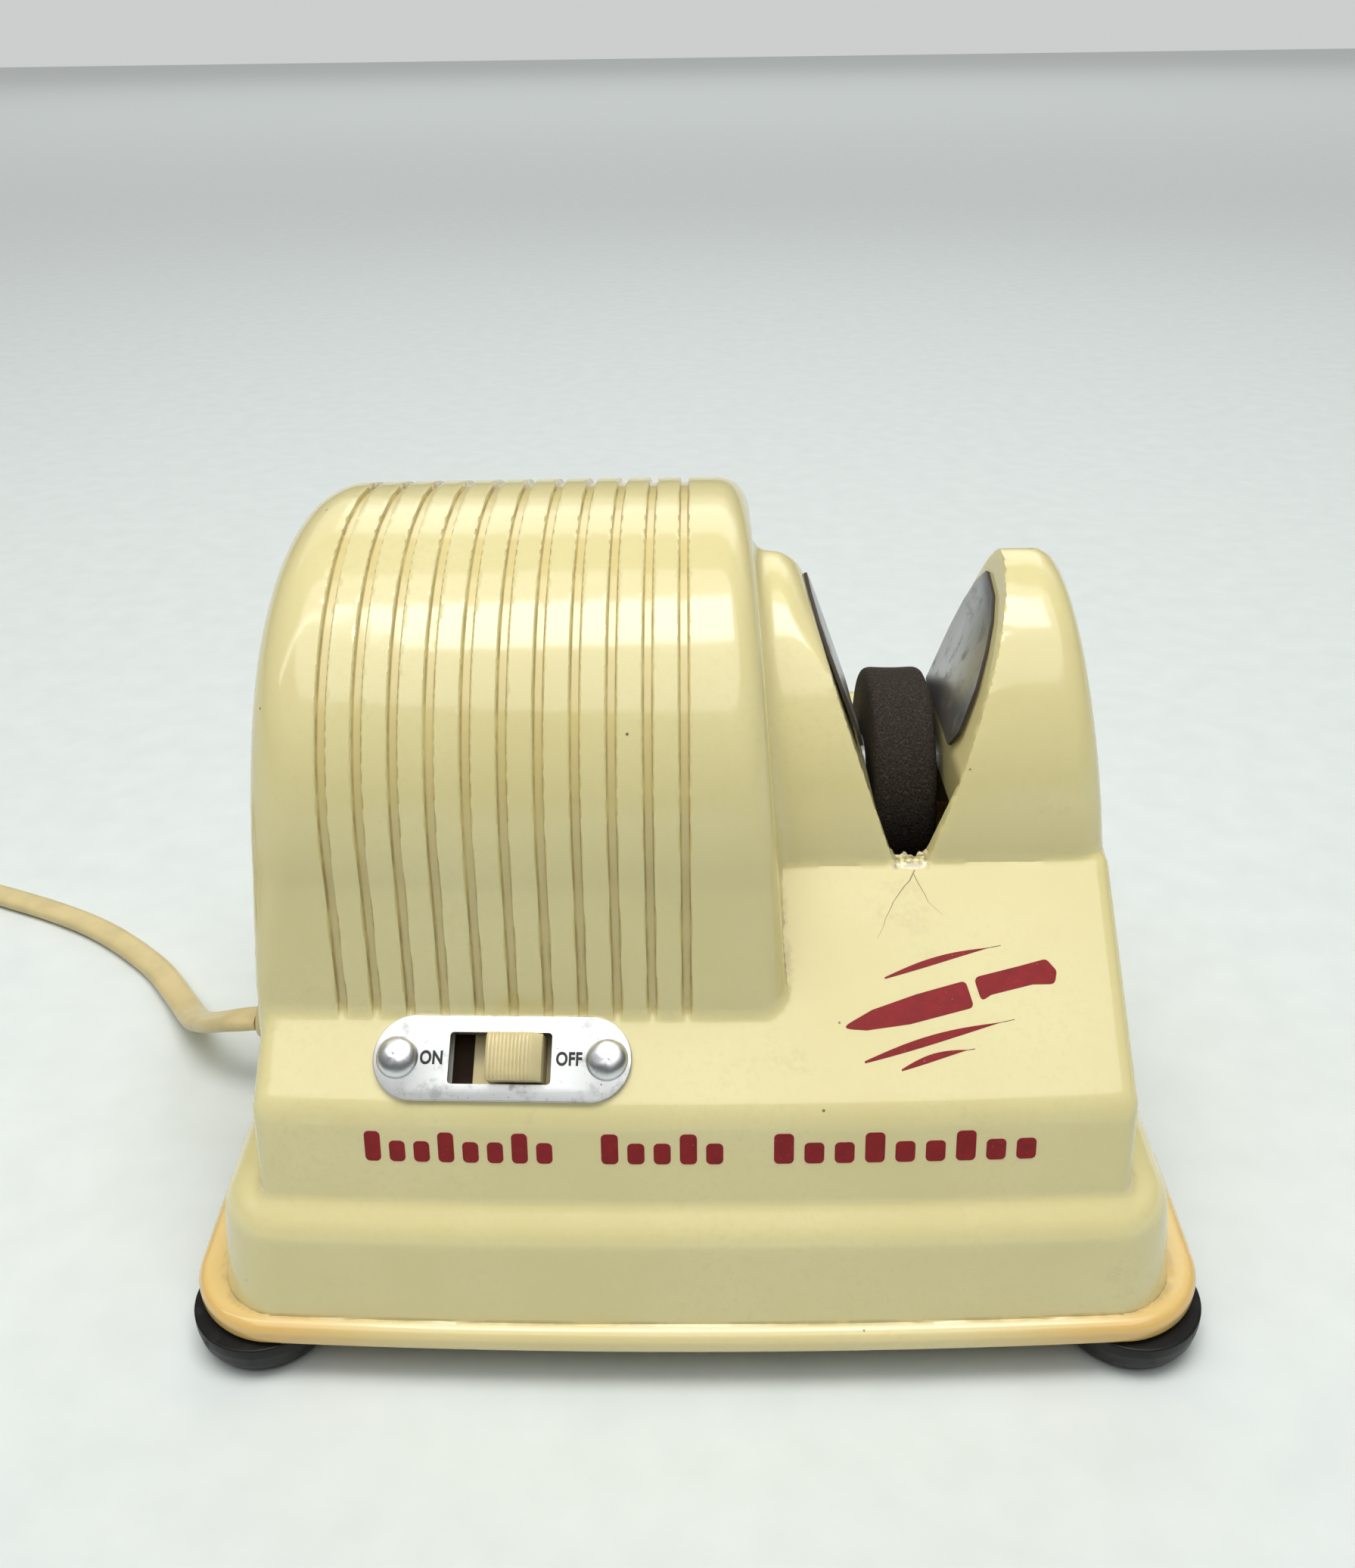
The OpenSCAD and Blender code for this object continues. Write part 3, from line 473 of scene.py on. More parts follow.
def new_piece(name, vertices, faces, material, body="frame", slot=None, replaces=(), smooth=35.0):
    """A mesh piece from points in millimetres; edges sharper than smooth degrees stay hard."""
    piece = mesh_object(name, vertices, faces)
    piece.data.validate()
    tidy_mesh(piece.data, smooth)
    return dress(piece, material, body, replaces)


def tidy_mesh(mesh, smooth, outward=True):
    bm = bmesh.new()
    bm.from_mesh(mesh)
    bmesh.ops.remove_doubles(bm, verts=bm.verts, dist=1e-7)
    if outward:
        bmesh.ops.recalc_face_normals(bm, faces=bm.faces)
    bm.to_mesh(mesh)
    bm.free()
    mesh.shade_smooth()
    mesh.set_sharp_from_angle(angle=math.radians(smooth))


def dress(piece, material, body, replaces):
    piece.data.materials.clear()
    piece.data.materials.append(MATERIALS[material])
    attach(piece, body)
    if replaces:
        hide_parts(*replaces)
    return piece


def apply_modifiers(piece):
    graph = bpy.context.evaluated_depsgraph_get()
    mesh = bpy.data.meshes.new_from_object(piece.evaluated_get(graph), depsgraph=graph)
    piece.modifiers.clear()
    old = piece.data
    piece.data = mesh
    bpy.data.meshes.remove(old)


def subtract(piece, cutters):
    """Cuts each closed cutter out of a closed piece, exactly."""
    for cutter in cutters:
        cut = piece.modifiers.new(cutter.name, "BOOLEAN")
        cut.object = cutter
        cut.operation = "DIFFERENCE"
        cut.solver = "MANIFOLD"
    apply_modifiers(piece)
    for cutter in cutters:
        bpy.data.objects.remove(cutter)


def loose_solid(name, vertices, faces):
    """A closed solid that only serves to cut another."""
    solid = mesh_object(name, vertices, faces)
    tidy_mesh(solid.data, 35.0)
    return solid


def tube_of_rings(rings, closed=False):
    """Faces between rings of the same length, capped at both ends unless closed."""
    count, sides = len(rings), len(rings[0])
    vertices = [p for ring in rings for p in ring]
    faces = []
    for i in range(count if closed else count - 1):
        a, b = i * sides, ((i + 1) % count) * sides
        faces += [(a + k, a + (k + 1) % sides, b + (k + 1) % sides, b + k) for k in range(sides)]
    if not closed:
        faces.append(tuple(range(sides - 1, -1, -1)))
        faces.append(tuple((count - 1) * sides + k for k in range(sides)))
    return vertices, faces


def lathe(profile, sides=96, closed=True):
    """Turns a profile of (radius, height) round +Z. A closed profile makes a ring with a bore."""
    rings = []
    for k in range(sides):
        a = 2 * math.pi * k / sides
        rings.append([(r * math.cos(a), r * math.sin(a), z) for r, z in profile])
    vertices = [p for ring in rings for p in ring]
    n = len(profile)
    faces = []
    for k in range(sides):
        a, b = k * n, ((k + 1) % sides) * n
        faces += [(a + i, b + i, b + (i + 1) % n, a + (i + 1) % n) for i in range(n if closed else n - 1)]
    return vertices, faces


def rounded(points, radius, steps=5):
    """A closed outline with every corner rounded. A point may carry its own radius as a third number."""
    out = []
    n = len(points)
    for i in range(n):
        before, here, after = (np.array(points[(i + k) % n][:2], float) for k in (-1, 0, 1))
        r = points[i][2] if len(points[i]) > 2 else radius
        a, b = before - here, after - here
        la, lb = np.linalg.norm(a), np.linalg.norm(b)
        a, b = a / la, b / lb
        half = math.acos(float(np.clip(a @ b, -1, 1))) / 2
        if r <= 0 or half > 1.5:
            out.append(tuple(here))
            continue
        reach = min(r / math.tan(half), 0.48 * la, 0.48 * lb)
        p, q = here + a * reach, here + b * reach
        for k in range(steps + 1):
            t = k / steps
            out.append(tuple((1 - t) ** 2 * p + 2 * t * (1 - t) * here + t ** 2 * q))
    return out


def inset(points, distance):
    """A closed counter-clockwise outline moved inward by a distance, point by point."""
    p = np.array(points, float)
    along = np.roll(p, -1, 0) - np.roll(p, 1, 0)
    along /= np.linalg.norm(along, axis=1)[:, None] + 1e-12
    return p + distance * np.stack([-along[:, 1], along[:, 0]], 1)


def slab(outline, z0, z1, edge, steps=3):
    """An upright prism of a counter-clockwise outline whose top and bottom edges are rounded."""
    rings = []
    for low in (True, False):
        for k in range(steps + 1):
            a = math.pi / 2 * k / steps
            sink, rise = edge * (1 - math.sin(a)), edge * (1 - math.cos(a))
            if not low:
                sink, rise = edge * (1 - math.cos(a)), edge * (1 - math.sin(a))
            z = z0 + rise if low else z1 - rise
            rings.append([(x, y, z) for x, y in inset(outline, sink)])
    return tube_of_rings(rings)


def moved(solid, matrix):
    """A solid, which is its vertices and faces, put somewhere else."""
    return [tuple(matrix @ Vector(p)) for p in solid[0]], solid[1]


def oblong(half_w, half_h):
    return [(-half_w, -half_h), (half_w, -half_h), (half_w, half_h), (-half_w, half_h)]


def joined(*solids):
    vertices, faces = [], []
    for v, f in solids:
        faces += [tuple(i + len(vertices) for i in face) for face in f]
        vertices += list(v)
    return vertices, faces


def circle(r, sides=64):
    turns = [2 * math.pi * k / sides for k in range(sides)]
    return [(r * math.cos(a), r * math.sin(a)) for a in turns]


def deck_matrix():
    """From the switch's own frame to the row frame: x along the deck, y up its slope, z out of it."""
    y = -STRIP[1][0] + SWITCH_X ** 2 / (2 * BOW)
    turn = Matrix.Rotation(math.asin(SWITCH_X / BOW), 4, "Z") @ Matrix.Rotation(DECK_TILT, 4, "X")
    return Matrix.Translation((SWITCH_X, y, STRIP[1][1])) @ turn @ Matrix.Translation((0, SWITCH_S, 0))


# ---------- the cord ----------

CORD_W, CORD_T = 5.3, 2.8
GLAND = (-1.0, 14.6)
CORD_ROUTE = [(-77, *GLAND), (-82, -0.2, 13.6), (-87.5, 3, 10.6), (-92.5, 8.5, 6.8), (-97, 15.5, 3.8),
              (-102.5, 23.5, 2.1), (-109, 31.5, 1.5), (-118, 39.5, 1.5), (-127, 46, 1.5), (-137, 51.5, 1.5),
              (-148, 56.5, 1.5), (-160, 61.5, 1.5), (-172, 66.5, 1.5), (-183, 71.1, 1.5), (-189.6, 73.7, 1.5)]
COIL_C = (-203.5, 40.6)
COIL_START = 67.2
LANES = (35.9, 30.3, 24.7)
LAYER = 2.85
TAIL_X = COIL_C[0] - LANES[2]
TAIL_ROUTE = [(TAIL_X, COIL_C[1] - d, z)
              for d, z in ((14, 10.1), (22, 10.2), (30, 10.1), (38, 8.2), (46, 5.6), (54, 4.5))]
PLUG_Y, PLUG_L, PLUG_Z = TAIL_ROUTE[-1][1], 24.0, 4.5
BLADE_PITCH = 12.7
CORD_REST, TAIL_LIFT = 1.5, 2.0
TIE_ANGLE = math.radians(-62)
# along the plug from the cord to the blades: a neck, a waist for the fingers and a flat face
PLUG_STATIONS = ((0.0, 0.36), (0.25, 0.42), (2.5, 0.50), (5.0, 0.66), (8.0, 0.80), (11.0, 0.86), (14.0, 0.90),
                 (17.0, 0.98), (18.5, 1.0), (22.8, 1.0), (23.6, 0.975), (24.0, 0.92))


def catmull(points, steps):
    """A smooth line through points, the same one that the CAD's tubes follow."""
    p = np.array(points, float)
    p = np.vstack([2 * p[0] - p[1], p, 2 * p[-1] - p[-2]])
    out = []
    for i in range(1, len(p) - 2):
        a, b, c, d = p[i - 1:i + 3]
        for t in np.arange(steps) / steps:
            out.append(0.5 * (2 * b + (c - a) * t + (2 * a - 5 * b + 4 * c - d) * t ** 2
                              + (3 * b - a - 3 * c + d) * t ** 3))
    out.append(p[-2])
    return out


def ease(value, low, high):
    t = max(0.0, min(1.0, (value - low) / (high - low)))
    return t * t * (3 - 2 * t)


def coil_turns(start_deg, per_turn=60):
    """Three layers of three lanes: out to in, in to out, out to in, then straight off the inner lane.

    A turn keeps its lane and steps over to the next one just before it closes, and up where a layer is full.
    """
    lanes = [LANES[i] for i in (0, 1, 2, 2, 1, 0, 0, 1, 2, 2)]
    layers = [0, 0, 0, 1, 1, 1, 2, 2, 2, 2]
    end = 8 + (180 - start_deg) / 360
    points = []
    for k in range(int(end * per_turn) + 1):
        turn = k / per_turn
        i = int(turn)
        over = ease(turn - i, 0.83, 1.0)
        up = ease(turn - i, 0.67, 0.83)
        lane = lanes[i] + (lanes[i + 1] - lanes[i]) * over
        layer = layers[i] + (layers[i + 1] - layers[i]) * up
        lift = ease(turn, end - 0.16, end)
        a = math.radians(start_deg) + 2 * math.pi * turn
        points.append((COIL_C[0] + lane * math.cos(a), COIL_C[1] + lane * math.sin(a),
                       CORD_REST + LAYER * layer + TAIL_LIFT * lift))
    return points


def cord_path():
    run = catmull(CORD_ROUTE, 6)
    tail = catmull(TAIL_ROUTE, 4)
    return np.array([tuple(p) for p in run[:-1]] + coil_turns(COIL_START) + [tuple(p) for p in tail], float)


def flat_section(width, thick, sides=20):
    """Section of a two-core flat cord: round edges and a shallow groove down the middle of each face."""
    out = []
    for k in range(sides):
        a = 2 * math.pi * k / sides
        x = (width / 2) * math.copysign(abs(math.cos(a)) ** 0.8, math.cos(a))
        y = (thick / 2) * math.copysign(abs(math.sin(a)) ** 0.75, math.sin(a))
        y *= 1 - 0.16 * math.exp(-(x / 0.75) ** 2)
        out.append((x, y))
    return out


def sweep(path, section):
    """Carries a section along a path, its first axis kept level."""
    p = np.asarray(path, float)
    heading = np.gradient(p, axis=0)
    heading /= np.linalg.norm(heading, axis=1)[:, None]
    level = np.cross(np.array([0.0, 0.0, 1.0]), heading)
    level /= np.linalg.norm(level, axis=1)[:, None] + 1e-12
    up = np.cross(heading, level)
    rings = [[tuple(c + l * x + u * y) for x, y in section] for c, l, u in zip(p, level, up)]
    return tube_of_rings(rings)


def make_plug():
    outline = rounded(oblong(10.4, 4.4), 4.2, 10)
    rings = []
    for along, scale in PLUG_STATIONS:
        thick = min(1.0, scale + 0.12)
        rings.append([(TAIL_X + x * scale, PLUG_Y - along, PLUG_Z + y * thick) for x, y in outline])
    plug = new_piece("mains_plug", *tube_of_rings(rings), "cord_plastic", slot="cord_plastic",
                     replaces=["plug_body"])
    soften(plug, 1)
    blades = []
    for side in (-1, 1):
        blade = rounded([(-3.2, 0, 0.4), (3.2, 0, 0.4), (3.2, 17, 1.6), (-3.2, 17, 1.6)], 1.0)
        place = Matrix.Translation((TAIL_X + side * BLADE_PITCH / 2, PLUG_Y - PLUG_L, PLUG_Z)) \
            @ Matrix.Rotation(math.pi / 2, 4, "Y") @ Matrix.Rotation(math.pi, 4, "Z")
        blades.append(moved(slab(blade, -0.75, 0.75, 0.2), place))
    pins = new_piece("plug_pins", *joined(*blades), "brass", slot="brass", replaces=["plug_blades"])
    return plug, pins


def soften(piece, levels):
    smooth = piece.modifiers.new("smooth", "SUBSURF")
    smooth.levels = smooth.render_levels = levels
    apply_modifiers(piece)


def make_strain_relief():
    """A ribbed sleeve that leaves the left side and tapers round the cord."""
    start = (-54.5, *GLAND)
    profile = [(1.5, 0), (5, 0), (5, 11.6), (3.85, 11.9), (3.85, 14.9), (4.7, 15.2), (4.7, 16.3)]
    for k in range(3):
        at = 16.4 + 1.7 * k
        r = 4.5 - 0.32 * k
        profile += [(r - 0.55, at), (r - 0.55, at + 0.6), (r, at + 0.85), (r - 0.05, at + 1.5)]
    profile += [(3.35, 22.0), (3.1, 22.4), (1.5, 22.5)]
    place = Matrix.Translation(start) @ Matrix.Rotation(-math.pi / 2, 4, "Y")
    new_piece("strain_sleeve", *moved(lathe(profile, 64), place), "cord_plastic", slot="cord_plastic",
              replaces=["strain_relief"])


def make_tie():
    """A twisted wire tie round the whole bundle."""
    out = np.array([math.cos(TIE_ANGLE), math.sin(TIE_ANGLE), 0.0])
    centre = np.array([COIL_C[0], COIL_C[1], 0.0])
    loop = rounded([(21.3, 0.3), (39.3, 0.3), (39.3, 9.2), (21.3, 9.2)], 2.2, 6)
    p = [centre + out * r + np.array([0, 0, z]) for r, z in loop]
    side = np.array([-out[1], out[0], 0.0])
    mid = centre + out * LANES[1] + np.array([0, 0, 4.8])
    rings = []
    for q in p:
        away = (q - mid) / np.linalg.norm(q - mid)
        rings.append([tuple(q + side * w + away * t) for w, t in oblong(1.6, 0.25)])
    v, f = tube_of_rings(rings, closed=True)
    return new_piece("cord_tie", v, f, "lead_plastic", slot="lead_plastic")


def make_cord():
    path = cord_path()
    v, f = sweep(path, flat_section(CORD_W, CORD_T))
    flex = new_piece("mains_cord", v, f, "cord_plastic", slot="cord_plastic",
                     replaces=["cord_run", "cord_coil", "cord_tail"], smooth=60)
    make_strain_relief()
    plug, pins = make_plug()
    tie = make_tie()


# ---------- the housing as a signed distance ----------


def both(a, b, r):
    """Where two solids overlap, with a rounded edge of radius r."""
    return np.minimum(np.maximum(a, b), -r) + np.hypot(np.maximum(a + r, 0), np.maximum(b + r, 0))


def either(a, b, r):
    """Two solids together, with a fillet of radius r where they meet."""
    return np.maximum(np.minimum(a, b), r) - np.hypot(np.maximum(r - a, 0), np.maximum(r - b, 0))


def step(value, low, high):
    t = np.clip((value - low) / (high - low), 0, 1)
    return t * t * (3 - 2 * t)


def bowed_plan(x, y, half_w, half_d, r):
    """Distance from a rounded rectangle whose four sides bow outward."""
    qx = np.abs(x) + y * y / (2 * BOW) - (half_w - r)
    qy = np.abs(y) + x * x / (2 * BOW) - (half_d - r)
    return np.hypot(np.maximum(qx, 0), np.maximum(qy, 0)) + np.minimum(np.maximum(qx, qy), 0) - r


def arch(out, up, a, b, n):
    """Distance from a superellipse of half axes a and b."""
    u, w = np.maximum(out, 0) / a, np.maximum(up, 0) / b
    s = u ** n + w ** n + 1e-9
    slope = s ** (1 / n - 1) * np.hypot(u ** (n - 1) / a, w ** (n - 1) / b)
    return np.maximum((s ** (1 / n) - 1) / (slope + 1e-4), -30)


def block(x, front, z):
    (y0, z0), (y1, z1) = STRIP
    lean = math.atan2(y0 - y1, z1 - z0)
    strip = (front - y0) * math.cos(lean) + (z - z0) * math.sin(lean)
    deck = (front - y1) * math.sin(DECK_TILT) + (z - z1) * math.cos(DECK_TILT)
    top = both(both(strip, deck, 1.4), z - DECK_TOP[1], 1.2)
    return np.maximum(both(top, np.abs(x) - BLOCK_HALF_W, 2.6), 20 - z)


def dome_arch(front, z):
    spring = CROWN_Z - DOME_H
    return arch(front, z - spring, DOME_HALF_D + np.maximum(spring - z, 0) * DOME_DRAFT, DOME_H, DOME_N)


def dome(x, front, z, grooved):
    over = dome_arch(front, z)
    left = -x - (LEFT_END[0] + (END_Z - z) * LEFT_END[1])
    right = x - (RIGHT_END[0] + (END_Z - z) * RIGHT_END[1])
    body = both(over, left, 1.6 + 6.9 * step(z, 46, 88))
    body = both(body, right, 3.4 + 1.2 * step(z, 60, 95))
    if grooved:
        nearest = GROOVE_X0 + GROOVE_PITCH * np.clip(np.round((x - GROOVE_X0) / GROOVE_PITCH), 0, GROOVES - 1)
        body = both(body, either(GROOVE_W / 2 - np.abs(x - nearest), over + GROOVE_DEPTH, 0.3), 0.22)
    return np.maximum(body, 42 - z)


def guards(x, y, z):
    front = arch(-y + x * x / (2 * BOW), z - GUARD_SPRING, GUARD_D, GUARD_Z - GUARD_SPRING, 2.0)
    depth = REAR_D + np.maximum(REAR_SPRING - z, 0) * REAR_DRAFT
    rear = arch(y, z - REAR_SPRING, depth, GUARD_Z - REAR_SPRING, 2.0)
    side = np.where(-y + x * x / (2 * BOW) > 0, front, rear)
    flat = 1 / math.hypot(1, NOTCH_SLOPE)
    reach = NOTCH_FLOOR + (z - DECK_TOP[1]) * NOTCH_SLOPE
    outer = x - (OUTER_X - np.maximum(z - OUTER_Z, 0) * OUTER_LEAN)
    right = both(both(side, outer, 4.6), (NOTCH_X + reach - x) * flat, 0.35)
    left = both(side, (x - NOTCH_X + reach) * flat, 0.5 + 3.2 * step(z, 88, 97))
    left = np.maximum(left, 3 - x)
    return np.maximum(left, 50 - z), np.maximum(right, 50 - z)


def shell(x, y, z, grooved, floor):
    """The moulding's outside. floor is how low the skirt reaches."""
    front = np.abs(y) + x * x / (2 * BOW)
    left, right = guards(x, y, z)
    body = either(dome(x, front, z, grooved), left, 2.6)
    body = either(body, block(x, front, z), 0.8)
    body = either(body, right, 0.7)
    draft = (z - 10) * SKIRT_DRAFT
    skirt = bowed_plan(x, y, SKIRT[0] - draft, SKIRT[1] - draft, SKIRT[2])
    low, slope = LEDGE[0], math.radians(LEDGE[1])
    ledge = (z - low) * math.cos(slope) + skirt * math.sin(slope)
    skirt = both(skirt, ledge, 1.9)
    skirt = np.maximum(both(skirt, z - SKIRT_TOP, 1.5), floor - z)
    return either(body, skirt, 1.5)


def outside(x, y, z):
    body = shell(x, y, z, True, 7.0)
    rim = both(both(bowed_plan(x, y, *RIM), z - RIM_TOP, 1.75), FOOT_H - z, 1.3)
    body = either(body, rim, 0.3)
    (x0, x1), (y0, y1), (_, z1) = SLOT
    # the lip at the foot of the notch is chipped
    bite = 0.7 + 0.55 * np.sin(2.6 * x + 0.6) + 0.3 * np.sin(5.9 * x)
    chip = 1.1 - bite * step(2.4 - np.abs(x - NOTCH_X), 0, 0.6)
    chip = chip * step(-y, 18, 24)
    slot = np.maximum(np.maximum(np.maximum(x0 - x, x - x1), np.maximum(y0 + chip - y, y - y1)), z - z1)
    return both(body, -slot, 0.25)


def inside(x, y, z):
    return np.maximum(shell(x, y, z, False, -9.0) + WALL, -1.0 - z)


def lines(*spans):
    """Grid lines: each span is (from, to, spacing)."""
    out = []
    for low, high, gap in spans:
        count = max(1, round((high - low) / gap))
        out += [low + (high - low) * k / count for k in range(count)]
    return np.array(out + [spans[-1][1]])


CROSSING_STEPS = 5
SLOPE_STEP = 0.01
TO_MIDDLE = 0.06


def contour(distance, xs, ys, zs):
    """Dual contouring of a signed distance on a grid of uneven lines. Returns points and quads."""
    grid = [xs.astype(np.float64), ys.astype(np.float64), zs.astype(np.float64)]
    field = distance(*np.ix_(*grid)).astype(np.float64)
    solid = field < 0
    cells = tuple(len(g) - 1 for g in grid)
    edges = []
    for axis in range(3):
        low = [slice(None)] * 3
        high = [slice(None)] * 3
        low[axis], high[axis] = slice(0, -1), slice(1, None)
        index = np.argwhere(solid[tuple(low)] != solid[tuple(high)])
        # an edge needs all four cells round it
        others = [a for a in range(3) if a != axis]
        keep = np.all([(index[:, a] > 0) & (index[:, a] < len(grid[a]) - 1) for a in others], axis=0)
        index = index[keep]
        end = index.copy()
        end[:, axis] += 1
        p0 = np.stack([grid[a][index[:, a]] for a in range(3)], 1)
        p1 = np.stack([grid[a][end[:, a]] for a in range(3)], 1)
        f0, f1 = field[tuple(index.T)], field[tuple(end.T)]
        a, b = np.zeros(len(index)), np.ones(len(index))
        fa, fb = f0.copy(), f1.copy()
        for _ in range(CROSSING_STEPS):
            t = np.clip(a + (b - a) * fa / (fa - fb), 0, 1)
            p = p0 + (p1 - p0) * t[:, None]
            f = distance(*p.T)
            same = (f < 0) == (fa < 0)
            a, fa = np.where(same, t, a), np.where(same, f, fa)
            b, fb = np.where(same, b, t), np.where(same, fb, f)
        edges.append((axis, index, p, f0 < 0))
    points = np.concatenate([e[2] for e in edges])
    steps = SLOPE_STEP * np.eye(3)
    normal = np.stack([distance(*(points + d).T) - distance(*(points - d).T) for d in steps], 1)
    normal /= np.linalg.norm(normal, axis=1)[:, None] + 1e-12
    # the four cells round every crossed edge
    quads, flips = [], []
    for axis, index, _, starts_inside in edges:
        a, b = [(1, 2), (2, 0), (0, 1)][axis]
        around = []
        for da, db in ((-1, -1), (0, -1), (0, 0), (-1, 0)):
            c = index.copy()
            c[:, a] += da
            c[:, b] += db
            around.append((c[:, 0] * cells[1] + c[:, 1]) * cells[2] + c[:, 2])
        quads.append(np.stack(around, 1))
        flips.append(~starts_inside)
    quads, flips = np.concatenate(quads), np.concatenate(flips)
    used, quads = np.unique(quads, return_inverse=True)
    quads = quads.reshape(-1, 4)
    count = len(used)
    cell = quads.ravel()
    p, n = np.repeat(points, 4, 0), np.repeat(normal, 4, 0)

    def gather(values):
        return np.bincount(cell, values, count)

    hits = gather(np.ones(len(cell)))
    middle = np.stack([gather(p[:, k]) for k in range(3)], 1) / hits[:, None]
    away = ((p - middle[cell]) * n).sum(1)
    matrix = np.zeros((count, 3, 3))
    target = np.zeros((count, 3))
    for i in range(3):
        target[:, i] = gather(n[:, i] * away)
        for j in range(i, 3):
            matrix[:, i, j] = matrix[:, j, i] = gather(n[:, i] * n[:, j])
    matrix += np.eye(3) * (TO_MIDDLE * hits)[:, None, None]
    vertex = middle + np.linalg.solve(matrix, target[:, :, None])[:, :, 0]
    where = np.stack([used // (cells[1] * cells[2]), used // cells[2] % cells[1], used % cells[2]], 1)
    low = np.stack([grid[a][where[:, a]] for a in range(3)], 1)
    high = np.stack([grid[a][where[:, a] + 1] for a in range(3)], 1)
    vertex = np.clip(vertex, low, high)
    quads[flips] = quads[flips][:, ::-1]
    return vertex, quads


def solid_from(name, distance, xs, ys, zs):
    vertices, quads = contour(distance, xs, ys, zs)
    return mesh_object(name, vertices, quads.tolist())


GROOVE_GRID = (-1.05, -0.78, -0.55, -0.28, 0.0, 0.28, 0.55, 0.78, 1.05, 1.72, 2.38, 3.05)
CAVITY_GRID = 2.2
GLAND_R = 4.0


def make_housing():
    """The moulding: fine grid lines where its edges are, then hollowed and cut through."""
    grooved = []
    for i in range(GROOVES):
        at = GROOVE_X0 + i * GROOVE_PITCH
        grooved += [at + d for d in GROOVE_GRID]
    xs = np.concatenate([lines((-75, -69, 0.75), (-69, -49.6, 0.95))[:-1], grooved,
                         lines((2.95, 26, 0.95), (26, 38.4, 0.7), (38.4, 69, 1.0), (69, 75, 0.75))])
    ys = lines((-65.4, -54, 0.6), (-54, -30, 0.95), (-30, 8, 0.85), (8, 54, 1.15), (54, 65.4, 0.75))
    zs = lines((5.3, 10.6, 0.4), (10.6, 22, 1.2), (22, 32, 0.62), (32, 66, 0.95), (66, 96, 0.95),
               (96, 110.7, 0.7))
    housing = solid_from("sharpener_housing", outside, xs, ys, zs)
    room = ((-72, 72), (-62, 62), (-3, 110))
    cavity = solid_from("cavity", inside, *(lines((*span, CAVITY_GRID)) for span in room))
    place = deck_matrix() @ Matrix.Translation((WINDOW_X, 0, 0))
    hole = loose_solid("window", *moved(slab(oblong(9, 4.3), -7, 7, 0.3), place))
    place = Matrix.Translation((-76, *GLAND)) @ Matrix.Rotation(math.pi / 2, 4, "Y")
    gland = loose_solid("gland", *moved(slab(circle(GLAND_R), 0, 14, 0.2), place))
    subtract(housing, [cavity, hole, gland])
    tidy_mesh(housing.data, 32.0, outward=False)
    dress(housing, "cream_plastic", "frame", ["housing"])


# ---------- feet, wheel and guide plates ----------


def make_feet():
    profile = rounded([(1.95, 3.0, 0.2), (3.7, 3.0, 0.2), (3.7, 0.0, 0.5), (7.8, 0.0, 1.0), (9.3, 0.9, 1.6),
                       (10.1, 2.6, 1.6), (10.4, 4.4, 0.8), (10.4, 6.0, 0.3), (1.95, 6.0, 0.1)], 0.3, 4)
    for front in (True, False):
        for right in (True, False):
            name = f"{'front' if front else 'rear'}_{'right' if right else 'left'}"
            place = Matrix.Translation((FOOT_X if right else -FOOT_X, -FOOT_Y if front else FOOT_Y, 0))
            new_piece(f"rubber_foot_{name}", *moved(lathe(profile, 80), place), "foot_rubber",
                      slot="foot_rubber", replaces=[f"foot_{name}"], smooth=50)


def make_wheel():
    """The abrasive wheel: worn round at its edges and slightly hollow where knives have run."""
    half = WHEEL_W / 2
    profile = [(WHEEL_BORE, -half), (15.9, -half), (16.5, -half + 0.06), (16.95, -half + 0.3),
               (17.22, -half + 0.65), (17.36, -half + 1.1)]
    for k in range(1, 12):
        t = k / 12
        profile.append((WHEEL_R - WHEEL_HOLLOW * math.sin(math.pi * t), -half + 1.1 + (WHEEL_W - 2.2) * t))
    profile += [(r, -h) for r, h in reversed(profile[1:6])] + [(WHEEL_BORE, half)]
    place = Matrix.Translation((WHEEL_X, 0, AXIS_Z)) @ Matrix.Rotation(math.pi / 2, 4, "Y")
    new_piece("abrasive_wheel", *moved(lathe(profile, 180), place), "abrasive", body="spindle",
              slot="abrasive", replaces=["grinding_wheel"], smooth=50)


# the plate's outline on its face: y, z and corner radius
GUIDE = [(-18.2, 76.8, 1.0), (-20.6, 80, 1.6), (-18.6, 86, 4), (-14.8, 90.4, 4), (-11.1, 93.7, 3),
         (-6.9, 96, 3), (0.5, 97.2, 1.2), (3, 94.6, 2.5), (4.6, 90.6, 3), (5.4, 86, 3), (5.4, 76.8, 0.4)]
GUIDE_T, GUIDE_LIFT = 0.6, 0.55


